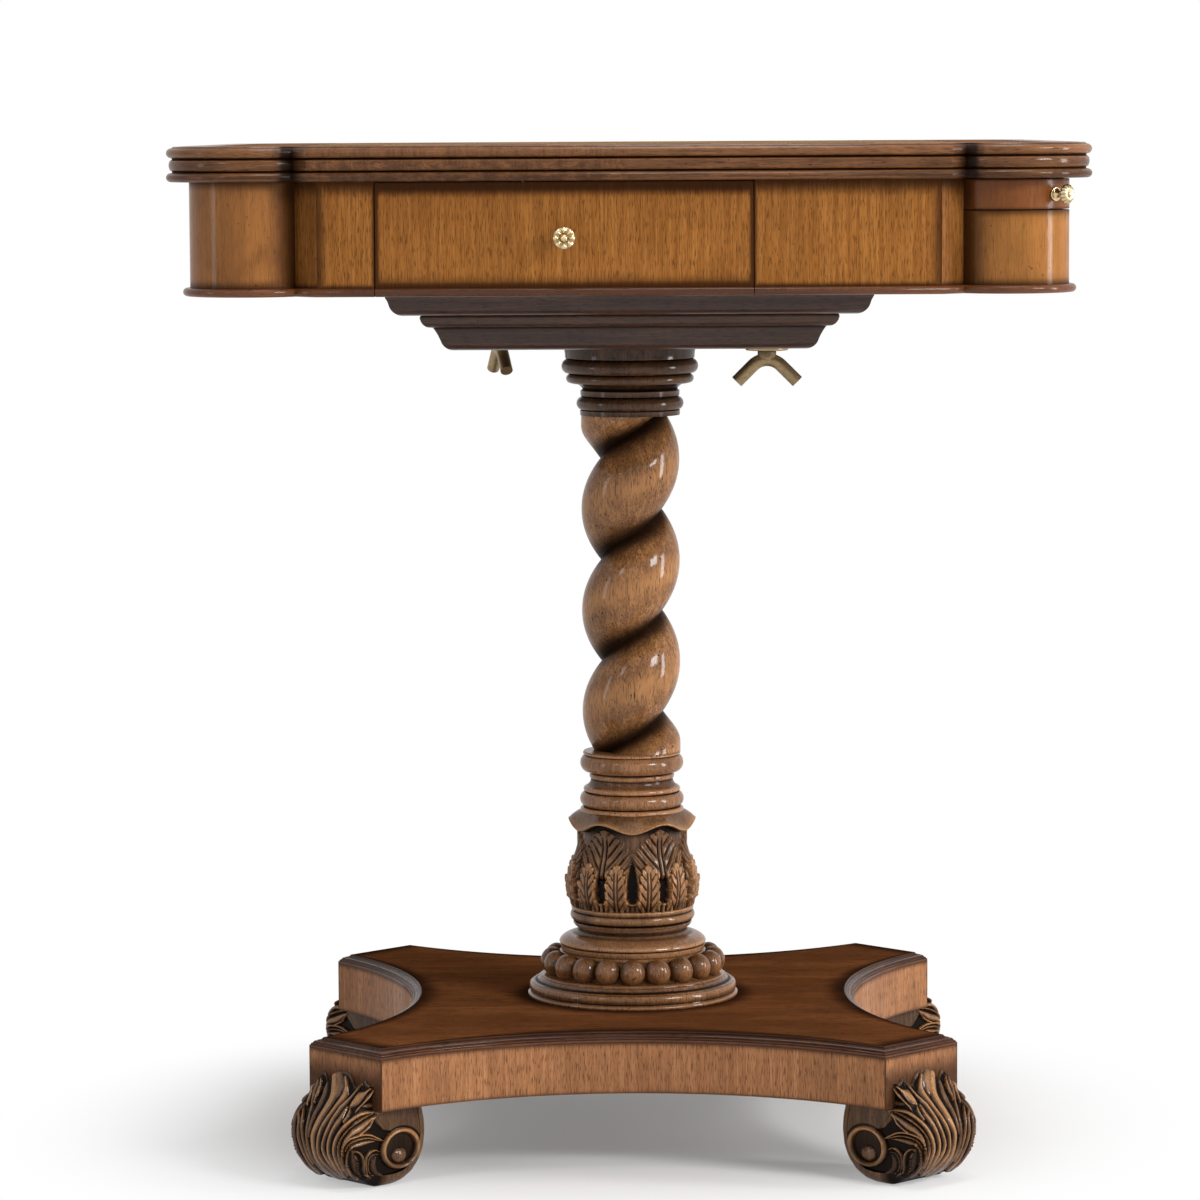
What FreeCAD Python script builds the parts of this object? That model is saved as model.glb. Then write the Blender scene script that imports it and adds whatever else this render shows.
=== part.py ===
"""Pedestal chess table: square top with canted corners and round turrets, two drawers and
two drinks slides, on a rope-twist column that stands on a plinth with four scroll feet.

Millimetres. +X right, -Y front, +Z up. The origin is the floor point under the middle.
"""
import FreeCAD, Part
import Sketcher
import math
import os
import re

from FreeCAD import Placement, Rotation, Vector

SIZES = [
    # overall
    ("table_height", 762),
    ("case_half", 312.8),        # middle to the straight faces of the case
    ("corner_cut", 92.8),        # what the 45 degree cant takes off each side of a corner
    ("turret_setback", 42.8),    # a turret's axis, in from the straight faces
    ("turret_radius", 43),
    # top
    ("top_thick", 25),
    ("top_overhang", 16.3),
    ("top_cove_depth", 3),
    ("top_upper_bead", 9.3),
    ("top_lower_bead", 7),
    ("edge_width", 12),          # how far the edge moulding reaches in from the case face
    ("veneer", 1.5),
    ("border_width", 61.8),      # from the edge moulding to the stringing
    ("squares_per_side", 8),
    ("string_width", 3),
    # case
    ("case_height", 75),
    ("bead_height", 6),
    ("bead_overhang", 5.1),
    ("rail_thick", 18),
    ("cant_thick", 16),
    ("door_gap", 0.7),
    ("running_gap", 0.4),
    # drawer
    ("short_rail", 40.4),        # fixed rail between a drawer's outer end and the cant
    ("long_rail", 131.8),        # fixed rail at its other end, over which the slide stands
    ("drawer_back_place", 24.8), # a drawer's back, from the middle of the case
    ("drawer_side", 10),
    ("drawer_inset", 4),         # the box is this much narrower than its front, each side
    ("drawer_headroom", 11),
    ("front_drop", 0.2),         # a drawer front hangs this far below the rails
    ("groove_rise", 6),          # the bottom's groove above the drawer's foot
    ("drawer_bottom_thick", 5),
    ("groove_depth", 5),
    ("runner_height", 5.6),
    ("runner_width", 12),
    ("guide_width", 7),
    ("guide_height", 22),
    ("stop_length", 12),
    ("knob_radius", 8.2),
    ("knob_length", 17),
    ("screw_length", 10),
    ("screw_radius", 2),
    ("screw_room", 1),
    ("knob_drop", 40),           # knob axis below the underside of the top
    # drinks slide
    ("slide_nose", 21.3),
    ("slide_thick", 14),
    ("slide_gap", 1.2),          # clearance of the shelf in its slot, each side
    ("slide_half", 41.5),
    ("slide_length", 194.7),     # inwards from the cant's face
    ("slide_runner_length", 184.7),
    ("slide_runner_thick", 9),
    ("shelf_tenon", 10),         # the shelf runs this far into the nose
    ("shelf_step", 1),           # underside of the shelf above the nose's
    ("slide_bearing", 7),        # what a runner carries of the shelf's edge
    ("slide_knob_radius", 7),
    ("slide_knob_length", 15),
    # pedestal head
    ("bearer_thick", 19),
    ("bearer_half", 179),
    ("bearer_step", 8),          # its lower member stands back this far
    ("bearer_lower_share", 0.45),
    ("head_thick", 27),
    ("head_half", 154.6),
    ("head_bead", 9),
    ("head_lower_step", 15.5),
    ("head_middle_step", 13),
    ("head_upper_step", 9),
    ("wing_inset", 52.1),        # a wing bolt's axis, in from the head block's sides
    ("bolt_radius", 4),
    ("shaft_gap", 0.05),
    ("bolt_hole_room", 0.5),
    ("bolt_end_room", 2),        # the shank stops this far short of its insert's end
    ("hub_wall", 3),
    ("hub_gap", 0.3),
    ("insert_radius", 7),
    ("insert_length", 15),
    ("washer_radius", 16),
    ("washer_thick", 2.5),
    ("wing_bar_radius", 4.9),
    ("wing_bar_drop", 9.5),      # bar axis below the head block
    ("wing_arm", 17),
    ("wing_bend", 15),
    # column
    ("rod_radius", 6),
    ("rod_gap", 0.5),
    ("rod_end_room", 2),
    ("nut_radius", 10.5),
    ("nut_height", 9),
    ("nut_pocket_radius", 15),
    ("nut_pocket_depth", 14),
    ("column_base_height", 15),
    ("column_base_radius", 80),
    ("bead_ring_height", 20.5),
    ("bead_ring_radius", 58),
    ("ring_foot_flare", 4),
    ("ring_waist", 2),
    ("ring_waist_rise", 5),
    ("ring_top_step", 3),
    ("bead_circle", 62.3),
    ("bead_radius", 9),
    ("beads_round", 20),
    ("bead_foot_gap", 0.3),
    ("bead_lap", 1.2),           # the eggs stand this far above their ring
    ("neck_height", 20.5),
    ("neck_radius", 42.3),
    ("vase_height", 83),
    ("vase_radius", 51),
    ("collar_height", 51),
    ("collar_radius", 40.4),
    ("twist_radius", 37.8),
    ("twist_groove", 20.8),      # radius at the bottom of the rope's groove
    ("twist_pitch", 78.6),
    ("twist_turn", 13.8),        # height of the groove above the shaft's foot at the front
    ("capital_radius", 52.8),
    ("capital_height", 56),
    # plinth
    ("plinth_short", 184),       # corner vertex, short ordinate
    ("plinth_long", 240),        # corner vertex, long ordinate
    ("plinth_hollow", 68),       # how far the curved sides draw in
    ("plinth_board", 7.5),
    ("plinth_step", 3),
    ("plinth_step_inset", 6),
    ("apron_height", 38),
    ("apron_thick", 18),
    ("block_reach", 150),        # ordinate where a corner block meets the aprons
    ("cross_half", 26),
    ("cross_thick", 27),
    # feet
    ("foot_height", 58.5),
    ("foot_width", 64),
    ("foot_behind", 52.3),       # how far the foot reaches in behind the plinth's cant face
    ("foot_ahead", 23.7),        # and how far it swells out in front of it
    ("foot_leaf_rise", 31.5),    # the leaf's tip above the plinth's underside
    ("foot_pad_in", 23.8),       # the flat that stands on the floor, in from the cant face
    ("foot_pad_out", 1.8),
    ("foot_leaf_gap", 0.1),      # clearance between the leaf's back and the plinth's cant face
    ("foot_leaf_tip", 5),        # how far the leaf's tip stands out
    ("foot_seat_step", 8),       # the top seat starts this far in front of the heel
    ("foot_toe_share", 0.78),    # level of the toe, as a share of the foot's height
    ("foot_heel_share", 0.5),
    ("foot_leaf_curve", 60),
    ("foot_toe_curve", 42),
    ("foot_scroll_curve", 34),
    ("foot_heel_curve", 30),
    ("foot_rounding", 6),
    ("foot_stud_in", 24.8),
    ("foot_stud_radius", 4),
    ("foot_stud_in_foot", 24),
    ("foot_stud_in_block", 28),
]

doc = FreeCAD.newDocument("chess_table")
sheet = doc.addObject("Spreadsheet::Sheet", "Sizes")
for row, (alias, number) in enumerate(SIZES, start=1):
    sheet.set("A%d" % row, alias)
    sheet.set("B%d" % row, str(number))
    sheet.setAlias("B%d" % row, alias)
doc.recompute()

ALIASES = {alias for alias, number in SIZES}
NODES = []


def above(level, *heights):
    """The formula of a level that lies above another by some heights."""
    return "(%s)" % " + ".join((level,) + heights)


# Levels and shared places, each as a formula on the sheet's sizes.
TOP_UNDER = "(table_height - top_thick)"
CASE_FOOT = "(%s - case_height)" % TOP_UNDER
BEAD_FOOT = "(%s - bead_height)" % CASE_FOOT
BEARER_FOOT = "(%s - bearer_thick)" % BEAD_FOOT
HEAD_FOOT = "(%s - head_thick)" % BEARER_FOOT
APRON_TOP = above("foot_height", "apron_height")
PLINTH_TOP = above(APRON_TOP, "plinth_board")
BEAD_RING_FOOT = above(PLINTH_TOP, "column_base_height")
NECK_FOOT = above(BEAD_RING_FOOT, "bead_ring_height")
VASE_FOOT = above(NECK_FOOT, "neck_height")
COLLAR_FOOT = above(VASE_FOOT, "vase_height")
TWIST_FOOT = above(COLLAR_FOOT, "collar_height")
CAPITAL_FOOT = "(%s - capital_height)" % HEAD_FOOT
STRAIGHT_HALF = "(case_half - corner_cut)"
TURRET_CENTRE = "(case_half - turret_setback)"
CANT_FACE = "((%s + case_half) / sqrt(2))" % STRAIGHT_HALF
TURRET_TIP = "(sqrt(2) * %s + turret_radius)" % TURRET_CENTRE
DRAWER_LEFT = "(%s - short_rail - door_gap)" % STRAIGHT_HALF
DRAWER_RIGHT = "(%s - long_rail - door_gap)" % STRAIGHT_HALF
DRAWER_MIDDLE = "((%s - %s) / 2)" % (DRAWER_RIGHT, DRAWER_LEFT)
DRAWER_FOOT = above(CASE_FOOT, "runner_height", "running_gap")
SLIDE_FOOT = "(%s - door_gap - slide_nose)" % TOP_UNDER
SLIDE_INNER = "(%s - slide_length)" % CANT_FACE
SLIDE_RUNNER_INNER = "(%s - slide_runner_length)" % CANT_FACE
SQUARE_SIDE = "((case_half - edge_width - border_width - string_width) * 2 / squares_per_side)"
WING_PLACE = "(head_half - wing_inset)"
PLINTH_CANT = "((plinth_short + plinth_long) / sqrt(2))"
PLINTH_CURVE = "((pow(plinth_short; 2) + pow(plinth_hollow; 2)) / (2 * plinth_hollow))"
ROD_BORE = "(rod_radius + rod_gap)"


def bound(text):
    """Return a formula with every sheet alias in it written as a reference to the sheet."""
    return re.sub(r"[a-z][a-z_]+", lambda m: "Sizes." + m[0] if m[0] in ALIASES else m[0], str(text))


def value(text):
    """Return the number that a formula gives."""
    return float(sheet.evalExpression(bound(text)))


def tie(thing, **formulas):
    """Bind properties to formulas; a double underscore in a name stands for a dot."""
    for name, text in formulas.items():
        thing.setExpression(name.replace("__", "."), bound(text))
    return thing


def new_body(name):
    return doc.addObject("PartDesign::Body", name)


def keep(thing, label):
    """Give a finished sub-part its label and put it on the list of pieces to write."""
    thing.Label = label
    NODES.append(thing)
    return thing


def turned(thing, degrees, x=0, y=0, z=0):
    """Stand a piece at a place, turned about the vertical."""
    thing.Placement = Placement(Vector(x, y, z), Rotation(Vector(0, 0, 1), degrees))
    return thing


def arc_centre(start, end, radius, way, long_way):
    """Return the centre of the arc from start to end; way is 1 counterclockwise, -1 clockwise."""
    chord = end - start
    half = chord.Length / 2
    left = Vector(-chord.y, chord.x, 0).normalize()
    rise = math.sqrt(max(radius * radius - half * half, 0))
    side = way if not long_way else -way
    return (start + end) * 0.5 + left * (rise * side)


def sketch_on(body, plane, name, level="0"):
    """Attach an empty sketch to one of the body's origin planes, raised along its normal."""
    sketch = body.newObject("Sketcher::SketchObject", name)
    support = [item for item in body.Origin.OriginFeatures if item.Role == plane][0]
    sketch.AttachmentSupport = [(support, "")]
    sketch.MapMode = "FlatFace"
    tie(sketch, AttachmentOffset__Base__z=level)
    return sketch


def outline(body, plane, name, path, level="0", closed=True):
    """Draw a sketch through corners whose two ordinates are formulas.

    A corner is (x, y), and the edge that leaves it is straight. A corner
    (x, y, radius, way) or (x, y, radius, way, "long") is left by an arc.
    """
    sketch = sketch_on(body, plane, name, level)
    corners = [Vector(value(corner[0]), value(corner[1]), 0) for corner in path]
    count = len(path) if closed else len(path) - 1
    ends = []
    for index in range(count):
        start = corners[index]
        end = corners[(index + 1) % len(path)]
        corner = path[index]
        if len(corner) == 2:
            edge = sketch.addGeometry(Part.LineSegment(start, end), False)
            ends.append((edge, 1, 2))
            continue
        radius = value(corner[2])
        way = corner[3]
        centre = arc_centre(start, end, radius, way, len(corner) == 5)
        first, last = (start, end) if way > 0 else (end, start)
        angles = [math.atan2(point.y - centre.y, point.x - centre.x) for point in (first, last)]
        circle = Part.Circle(centre, Vector(0, 0, 1), radius)
        edge = sketch.addGeometry(Part.ArcOfCircle(circle, angles[0], angles[1]), False)
        ends.append((edge, 1, 2) if way > 0 else (edge, 2, 1))
    draw = constrainer(sketch)
    joints = count if closed else count - 1
    for index in range(joints):
        edge, start, end = ends[index]
        following, next_start, next_end = ends[(index + 1) % count]
        draw("Coincident", edge, end, following, next_start)
    for index, corner in enumerate(path):
        if index < count:
            edge, point = ends[index][0], ends[index][1]
        else:
            edge, point = ends[-1][0], ends[-1][2]
        draw("DistanceX", -1, 1, edge, point, formula=corner[0])
        draw("DistanceY", -1, 1, edge, point, formula=corner[1])
    for index in range(count):
        if len(path[index]) > 2:
            draw("Radius", ends[index][0], formula=path[index][2])
    return sketch


def constrainer(sketch):
    """Return a function that adds a constraint to the sketch and binds it to a formula."""
    def draw(kind, *where, formula=None):
        numbers = where if formula is None else where + (value(formula),)
        index = sketch.addConstraint(Sketcher.Constraint(kind, *numbers))
        if formula is not None:
            sketch.setExpression("Constraints[%d]" % index, bound(formula))
    return draw


def ring(body, name, radius, x="0", y="0", plane="XY_Plane", level="0"):
    """Draw one circle, its centre and radius bound to formulas."""
    sketch = sketch_on(body, plane, name, level)
    centre = Vector(value(x), value(y), 0)
    edge = sketch.addGeometry(Part.Circle(centre, Vector(0, 0, 1), value(radius)), False)
    draw = constrainer(sketch)
    draw("Radius", edge, formula=radius)
    draw("DistanceX", -1, 1, edge, 3, formula=x)
    draw("DistanceY", -1, 1, edge, 3, formula=y)
    return sketch


def pad(body, sketch, length):
    feature = body.newObject("PartDesign::Pad", "Pad")
    feature.Profile = sketch
    return tie(feature, Length=length)


def pad_both_ways(body, sketch, length):
    """Pad a sketch evenly to both sides of its plane."""
    feature = pad(body, sketch, length)
    feature.Midplane = True
    return feature


def pocket(body, sketch, length):
    """Cut upwards (along the sketch's normal) through the body."""
    feature = body.newObject("PartDesign::Pocket", "Pocket")
    feature.Profile = sketch
    feature.Reversed = True
    return tie(feature, Length=length)


def revolve(body, sketch):
    feature = body.newObject("PartDesign::Revolution", "Revolution")
    feature.Profile = sketch
    feature.ReferenceAxis = (sketch, ["V_Axis"])
    feature.Angle = 360
    return feature


def fillet(body, feature, edges, radius):
    """Round the edges of the body's last feature."""
    rounding = body.newObject("PartDesign::Fillet", "Fillet")
    rounding.Base = (feature, edges)
    return tie(rounding, Radius=radius)


def group(label, pieces):
    """Gather equal pieces that share one node as separate solids."""
    gathered = doc.addObject("Part::Compound", label)
    gathered.Links = pieces
    return keep(gathered, label)


def block(name, x, y, z, length, width, height):
    """A plain rectangular board with its low corner at x, y, z."""
    board = doc.addObject("Part::Box", name)
    tie(board, Length=length, Width=width, Height=height)
    return tie(board, Placement__Base__x=x, Placement__Base__y=y, Placement__Base__z=z)


# ---------------------------------------------------------------- outlines in plan

def case_outline(offset):
    """The table's plan, moved out by offset: straight sides, 45 degree cants, round turrets."""
    half = "(case_half + %s)" % offset
    straight = "(%s + (sqrt(2) - 1) * %s)" % (STRAIGHT_HALF, offset)
    radius = "(turret_radius + %s)" % offset
    cant = "(%s + case_half + sqrt(2) * %s)" % (STRAIGHT_HALF, offset)
    away = "((2 * %s - %s) / sqrt(2))" % (TURRET_CENTRE, cant)
    chord = "(sqrt(pow(%s; 2) - pow(%s; 2)) / sqrt(2))" % (radius, away)
    near = "(%s / 2 - %s)" % (cant, chord)
    far = "(%s / 2 + %s)" % (cant, chord)
    long_way = value(away) > 0
    arc = (radius, 1, "long") if long_way else (radius, 1)
    path = []
    for signs in ((1, -1), (1, 1), (-1, 1), (-1, -1)):
        right, back = signs
        corner = [(straight, half), (near, far), (far, near), (half, straight)]
        if right == back:
            corner = [(second, first) for first, second in corner]
        for index, (first, second) in enumerate(corner):
            place = ("%d * %s" % (right, first), "%d * %s" % (back, second))
            path.append(place + arc if index == 1 else place)
    return path


def plinth_point(inset):
    """The two ordinates of a plinth corner, moved in by inset."""
    centre = "(plinth_long + %s - plinth_hollow)" % PLINTH_CURVE
    radius = "(%s + %s)" % (PLINTH_CURVE, inset)
    reach = "(plinth_short + plinth_long - sqrt(2) * %s - %s)" % (inset, centre)
    short = "((%s + sqrt(2 * pow(%s; 2) - pow(%s; 2))) / 2)" % (reach, radius, reach)
    long = "(plinth_short + plinth_long - sqrt(2) * %s - %s)" % (inset, short)
    return short, long, radius


def plinth_outline(inset):
    """The plinth's plan, moved in by inset: four hollow sides and four cants."""
    short, long, radius = plinth_point(inset)
    path = []
    for right, back in ((1, -1), (1, 1), (-1, 1), (-1, -1)):
        first, second = (short, long) if right != back else (long, short)
        path.append(("%d * %s" % (right, first), "%d * %s" % (back, second)))
        first, second = second, first
        path.append(("%d * %s" % (right, first), "%d * %s" % (back, second), radius, -1))
    return path


def plinth_curve_at(ordinate, inset):
    """How far from the middle a hollow side lies at an ordinate along it."""
    centre = "(plinth_long + %s - plinth_hollow)" % PLINTH_CURVE
    return "(%s - sqrt(pow(%s + %s; 2) - pow(%s; 2)))" % (centre, PLINTH_CURVE, inset, ordinate)


# ---------------------------------------------------------------- plinth and feet

def make_plinth():
    board = new_body("plinth_top_board")
    lower = "(plinth_board - plinth_step)"
    pad(board, outline(board, "XY_Plane", "edge", plinth_outline("0"), APRON_TOP), lower)
    step = above(APRON_TOP, lower)
    pad(board, outline(board, "XY_Plane", "flat", plinth_outline("plinth_step_inset"), step),
        "plinth_step")
    pocket(board, ring(board, "bore", ROD_BORE, level=APRON_TOP), "plinth_board")
    keep(board, "plinth_top_board")

    outer = plinth_curve_at("block_reach", "0")
    inner = plinth_curve_at("block_reach", "apron_thick")
    for name, degrees in (("front", 0), ("right", 90), ("back", 180), ("left", 270)):
        apron = new_body("%s_apron" % name)
        path = [("-block_reach", "-" + outer, PLINTH_CURVE, -1),
                ("block_reach", "-" + outer),
                ("block_reach", "-" + inner, "(%s + apron_thick)" % PLINTH_CURVE, 1),
                ("-block_reach", "-" + inner)]
        pad(apron, outline(apron, "XY_Plane", "plan", path, "foot_height"), "apron_height")
        keep(turned(apron, degrees), "%s_apron" % name)

    blocks = []
    for degrees in (0, 90, 180, 270):
        corner = new_body("corner_block")
        path = [("plinth_short", "-plinth_long"),
                ("plinth_long", "-plinth_short", PLINTH_CURVE, -1),
                (outer, "-block_reach"),
                ("block_reach", "-block_reach"),
                ("block_reach", "-" + outer, PLINTH_CURVE, -1)]
        pad(corner, outline(corner, "XY_Plane", "plan", path, "foot_height"), "apron_height")
        place = "(%s - foot_stud_in) / sqrt(2)" % PLINTH_CANT
        hole = ring(corner, "stud", "(foot_stud_radius + shaft_gap)", place, "-" + place, level="foot_height")
        pocket(corner, hole, "(foot_stud_in_block + 1)")
        blocks.append(turned(corner, degrees))
    group("corner_blocks", blocks)

    rails = new_body("cross_rails")
    reach = plinth_curve_at("0", "apron_thick")
    path = []
    for right, back in ((1, -1), (1, 1), (-1, 1), (-1, -1)):
        first, second = ("cross_half", reach) if right != back else (reach, "cross_half")
        path.append(("%d * %s" % (right, first), "%d * %s" % (back, second)))
        path.append(("%d * cross_half" % right, "%d * cross_half" % back))
        path.append(("%d * %s" % (right, second), "%d * %s" % (back, first)))
    foot = "(%s - cross_thick)" % APRON_TOP
    pad(rails, outline(rails, "XY_Plane", "plan", path, foot), "cross_thick")
    pocket(rails, ring(rails, "bore", ROD_BORE, level=foot), "cross_thick")
    pocket(rails, ring(rails, "nut_pocket", "nut_pocket_radius", level=foot), "nut_pocket_depth")
    keep(rails, "cross_rails")


def make_feet():
    places = (("front_right", -45), ("back_right", 45), ("back_left", 135), ("front_left", 225))
    face = "(%s + foot_leaf_gap)" % PLINTH_CANT
    for name, degrees in places:
        foot = new_body("foot_" + name)
        heel = "(%s - foot_behind)" % PLINTH_CANT
        leaf_top = "(foot_height + foot_leaf_rise)"
        path = [("(%s + foot_seat_step)" % heel, "foot_height"),
                (face, "foot_height"),
                (face, leaf_top),
                ("(%s + foot_leaf_tip)" % PLINTH_CANT, leaf_top, "foot_leaf_curve", -1),
                ("(%s + foot_ahead)" % PLINTH_CANT, "foot_toe_share * foot_height", "foot_toe_curve", -1),
                ("(%s - foot_pad_out)" % PLINTH_CANT, "0"),
                ("(%s - foot_pad_in)" % PLINTH_CANT, "0", "foot_scroll_curve", -1),
                (heel, "foot_heel_share * foot_height", "foot_heel_curve", -1)]
        body = pad_both_ways(foot, outline(foot, "XZ_Plane", "side", path), "foot_width")
        doc.recompute()
        long_edges = []
        for index, edge in enumerate(body.Shape.Edges, start=1):
            box = edge.BoundBox
            outside = box.XMin > value(face) + 0.5 or box.ZMax < 0.6 * value("foot_height")
            flat = box.YLength < 0.01 and abs(box.YMin) > 0.4 * value("foot_width")
            if flat and outside:
                long_edges.append("Edge%d" % index)
        fillet(foot, body, long_edges, "foot_rounding")
        hole = ring(foot, "stud", "(foot_stud_radius + shaft_gap)", "(%s - foot_stud_in)" % PLINTH_CANT,
                    level="(foot_height - foot_stud_in_foot - 1)")
        pocket(foot, hole, "(foot_stud_in_foot + 1)")
        keep(turned(foot, degrees), "foot_" + name)
    studs = []
    for name, degrees in places:
        stud = doc.addObject("Part::Cylinder", "stud")
        tie(stud, Radius="foot_stud_radius", Height="foot_stud_in_foot + foot_stud_in_block")
        along = value("%s - foot_stud_in" % PLINTH_CANT)
        turn = math.radians(degrees)
        height = value("foot_height - foot_stud_in_foot")
        studs.append(turned(stud, 0, along * math.cos(turn), along * math.sin(turn), height))
    group("foot_studs", studs)


# ---------------------------------------------------------------- column

def lathe(label, foot, height, radius, profile):
    """Turn a column piece with a bore for the tie rod.

    profile runs up the outside as (radius lost, share of the height) or
    (radius lost, share of the height, arc radius, way) for a rounded member.
    """
    body = new_body(label)
    path = [(ROD_BORE, foot)]
    for point in profile:
        place = ("(%s - %s)" % (radius, point[0]), "(%s + %s * %s)" % (foot, point[1], height))
        path.append(place + tuple(point[2:]))
    path.append((ROD_BORE, above(foot, height)))
    revolve(body, outline(body, "XZ_Plane", "profile", path))
    return keep(body, label)


def make_column():
    lathe("column_base_ring", PLINTH_TOP, "column_base_height", "column_base_radius",
          [(0, 0), (0, 0.12, 3.2, 1), (1.2, 0.5), (3.4, 0.58, 9, -1), (10.5, 1)])
    make_bead_ring()
    lathe("column_neck", NECK_FOOT, "neck_height", "neck_radius",
          [(-14.6, 0), (-15, 0.27, 14, -1), (0, 0.71), (-1.4, 0.8), (-1.4, 0.88), (-3.5, 0.95), (-3.5, 1)])
    lathe("carved_vase", VASE_FOOT, "vase_height", "vase_radius",
          [(5.2, 0), (5.2, 0.036, 3.8, 1), (5.2, 0.115), (4.9, 0.18, 41, 1), (8.7, 0.72, 22, -1),
           (2.5, 0.955), (2, 0.98), (4, 1)])
    lathe("lower_collar", COLLAR_FOOT, "collar_height", "collar_radius",
          [(0.3, 0), (0.3, 0.117), (3, 0.13, 5.1, 1), (3, 0.31), (4, 0.32), (3.1, 0.39, 9, -1), (9, 0.585),
           (4, 0.6), (4, 0.68, 7.1, 1), (4, 0.93), (2.6, 0.95), (2.6, 1)])
    make_twist()
    lathe("column_capital", CAPITAL_FOOT, "capital_height", "capital_radius",
          [(14.1, 0), (14.1, 0.07, 5.6, 1), (14.1, 0.248), (14.7, 0.25), (14.7, 0.34), (16.8, 0.37),
           (7.9, 0.42), (7, 0.46), (3.5, 0.53), (2.1, 0.565, 8, 1), (2.1, 0.757), (1.6, 0.765),
           (0, 0.985), (0, 1)])


def make_bead_ring():
    """A drum with a row of egg beads around it."""
    ring_body = new_body("bead_ring")
    path = [(ROD_BORE, BEAD_RING_FOOT),
            ("(bead_ring_radius + ring_foot_flare)", BEAD_RING_FOOT),
            ("(bead_ring_radius - ring_waist)", above(BEAD_RING_FOOT, "ring_waist_rise")),
            ("(bead_ring_radius - ring_top_step)", NECK_FOOT),
            (ROD_BORE, NECK_FOOT)]
    revolve(ring_body, outline(ring_body, "XZ_Plane", "core", path))
    low = above(BEAD_RING_FOOT, "bead_foot_gap")
    high = above(NECK_FOOT, "bead_lap")
    bead = ring_body.newObject("PartDesign::AdditiveEllipsoid", "bead")
    tie(bead, Radius1="(%s - %s) / 2" % (high, low), Radius2="bead_radius", Radius3="bead_radius")
    tie(bead, Placement__Base__x="bead_circle", Placement__Base__z="(%s + %s) / 2" % (high, low))
    pattern = ring_body.newObject("PartDesign::PolarPattern", "beads")
    pattern.Originals = [bead]
    axis = [item for item in ring_body.Origin.OriginFeatures if item.Role == "Z_Axis"][0]
    pattern.Axis = (axis, [""])
    pattern.Angle = 360
    tie(pattern, Occurrences="beads_round")
    ring_body.Tip = pattern
    keep(ring_body, "bead_ring")


def rope_radius(share):
    """Radius of the rope at a share of its pitch away from the groove."""
    crest = value("twist_radius")
    groove = value("twist_groove")
    half = value("twist_pitch") / 2
    fall = crest - groove
    bulge = (half * half + fall * fall) / (2 * fall)
    return crest - bulge + math.sqrt(bulge * bulge - ((share - 0.5) * 2 * half) ** 2)


def make_twist():
    """The rope: an egg-shaped section with one cusp, turned evenly as it rises."""
    foot = value(TWIST_FOOT)
    length = value("%s - %s" % (CAPITAL_FOOT, TWIST_FOOT))
    pitch = value("twist_pitch")
    start = -90 - 360 * value("twist_turn") / pitch
    steps = 36
    points = []
    for step in range(steps + 1):
        angle = math.radians(start + 360 * step / steps)
        radius = rope_radius(step / steps)
        points.append(Vector(radius * math.cos(angle), radius * math.sin(angle), foot))
    curve = Part.BSplineCurve()
    curve.interpolate(points)
    section = Part.Wire([curve.toShape()])
    spine = Part.Wire([Part.makeLine(Vector(0, 0, foot), Vector(0, 0, foot + length))])
    guide = Part.makeHelix(pitch, length, value("twist_radius") * 2)
    guide.translate(Vector(0, 0, foot))
    shell = Part.BRepOffsetAPI.MakePipeShell(spine)
    shell.setAuxiliarySpine(Part.Wire(guide.Edges), True, 0)
    shell.add(section, False, False)
    shell.build()
    shell.makeSolid()
    bore = Part.makeCylinder(value(ROD_BORE), length, Vector(0, 0, foot))
    shaft = doc.addObject("Part::Feature", "rope_twist_shaft")
    shaft.Shape = shell.shape().cut(bore)
    shaft.Placement = Placement()
    keep(shaft, "rope_twist_shaft")


def make_tie_rod():
    rod = doc.addObject("Part::Cylinder", "tie_rod")
    low = "(%s - cross_thick + rod_end_room)" % APRON_TOP
    high = "(%s + head_thick - rod_end_room)" % HEAD_FOOT
    tie(rod, Radius="rod_radius", Height="(%s - %s)" % (high, low), Placement__Base__z=low)
    keep(rod, "tie_rod")
    seats = ("(%s - cross_thick + nut_pocket_depth - nut_height)" % APRON_TOP,
             "(%s + head_thick - nut_pocket_depth)" % HEAD_FOOT)
    nuts = []
    for seat in seats:
        nut = new_body("nut")
        path = []
        for corner in range(6):
            angle = math.radians(60 * corner)
            path.append(("%.4f * nut_radius" % math.cos(angle), "%.4f * nut_radius" % math.sin(angle)))
        pad(nut, outline(nut, "XY_Plane", "hexagon", path, seat), "nut_height")
        pocket(nut, ring(nut, "bore", "(rod_radius + shaft_gap)", level=seat), "nut_height")
        nuts.append(nut)
    group("tie_rod_nuts", nuts)


# ---------------------------------------------------------------- pedestal head

def square(half):
    return [("-" + half, "-" + half), (half, "-" + half), (half, half), ("-" + half, half)]


WINGS = (("front_right", 1, -1, 0), ("back_left", -1, 1, 105))


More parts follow.
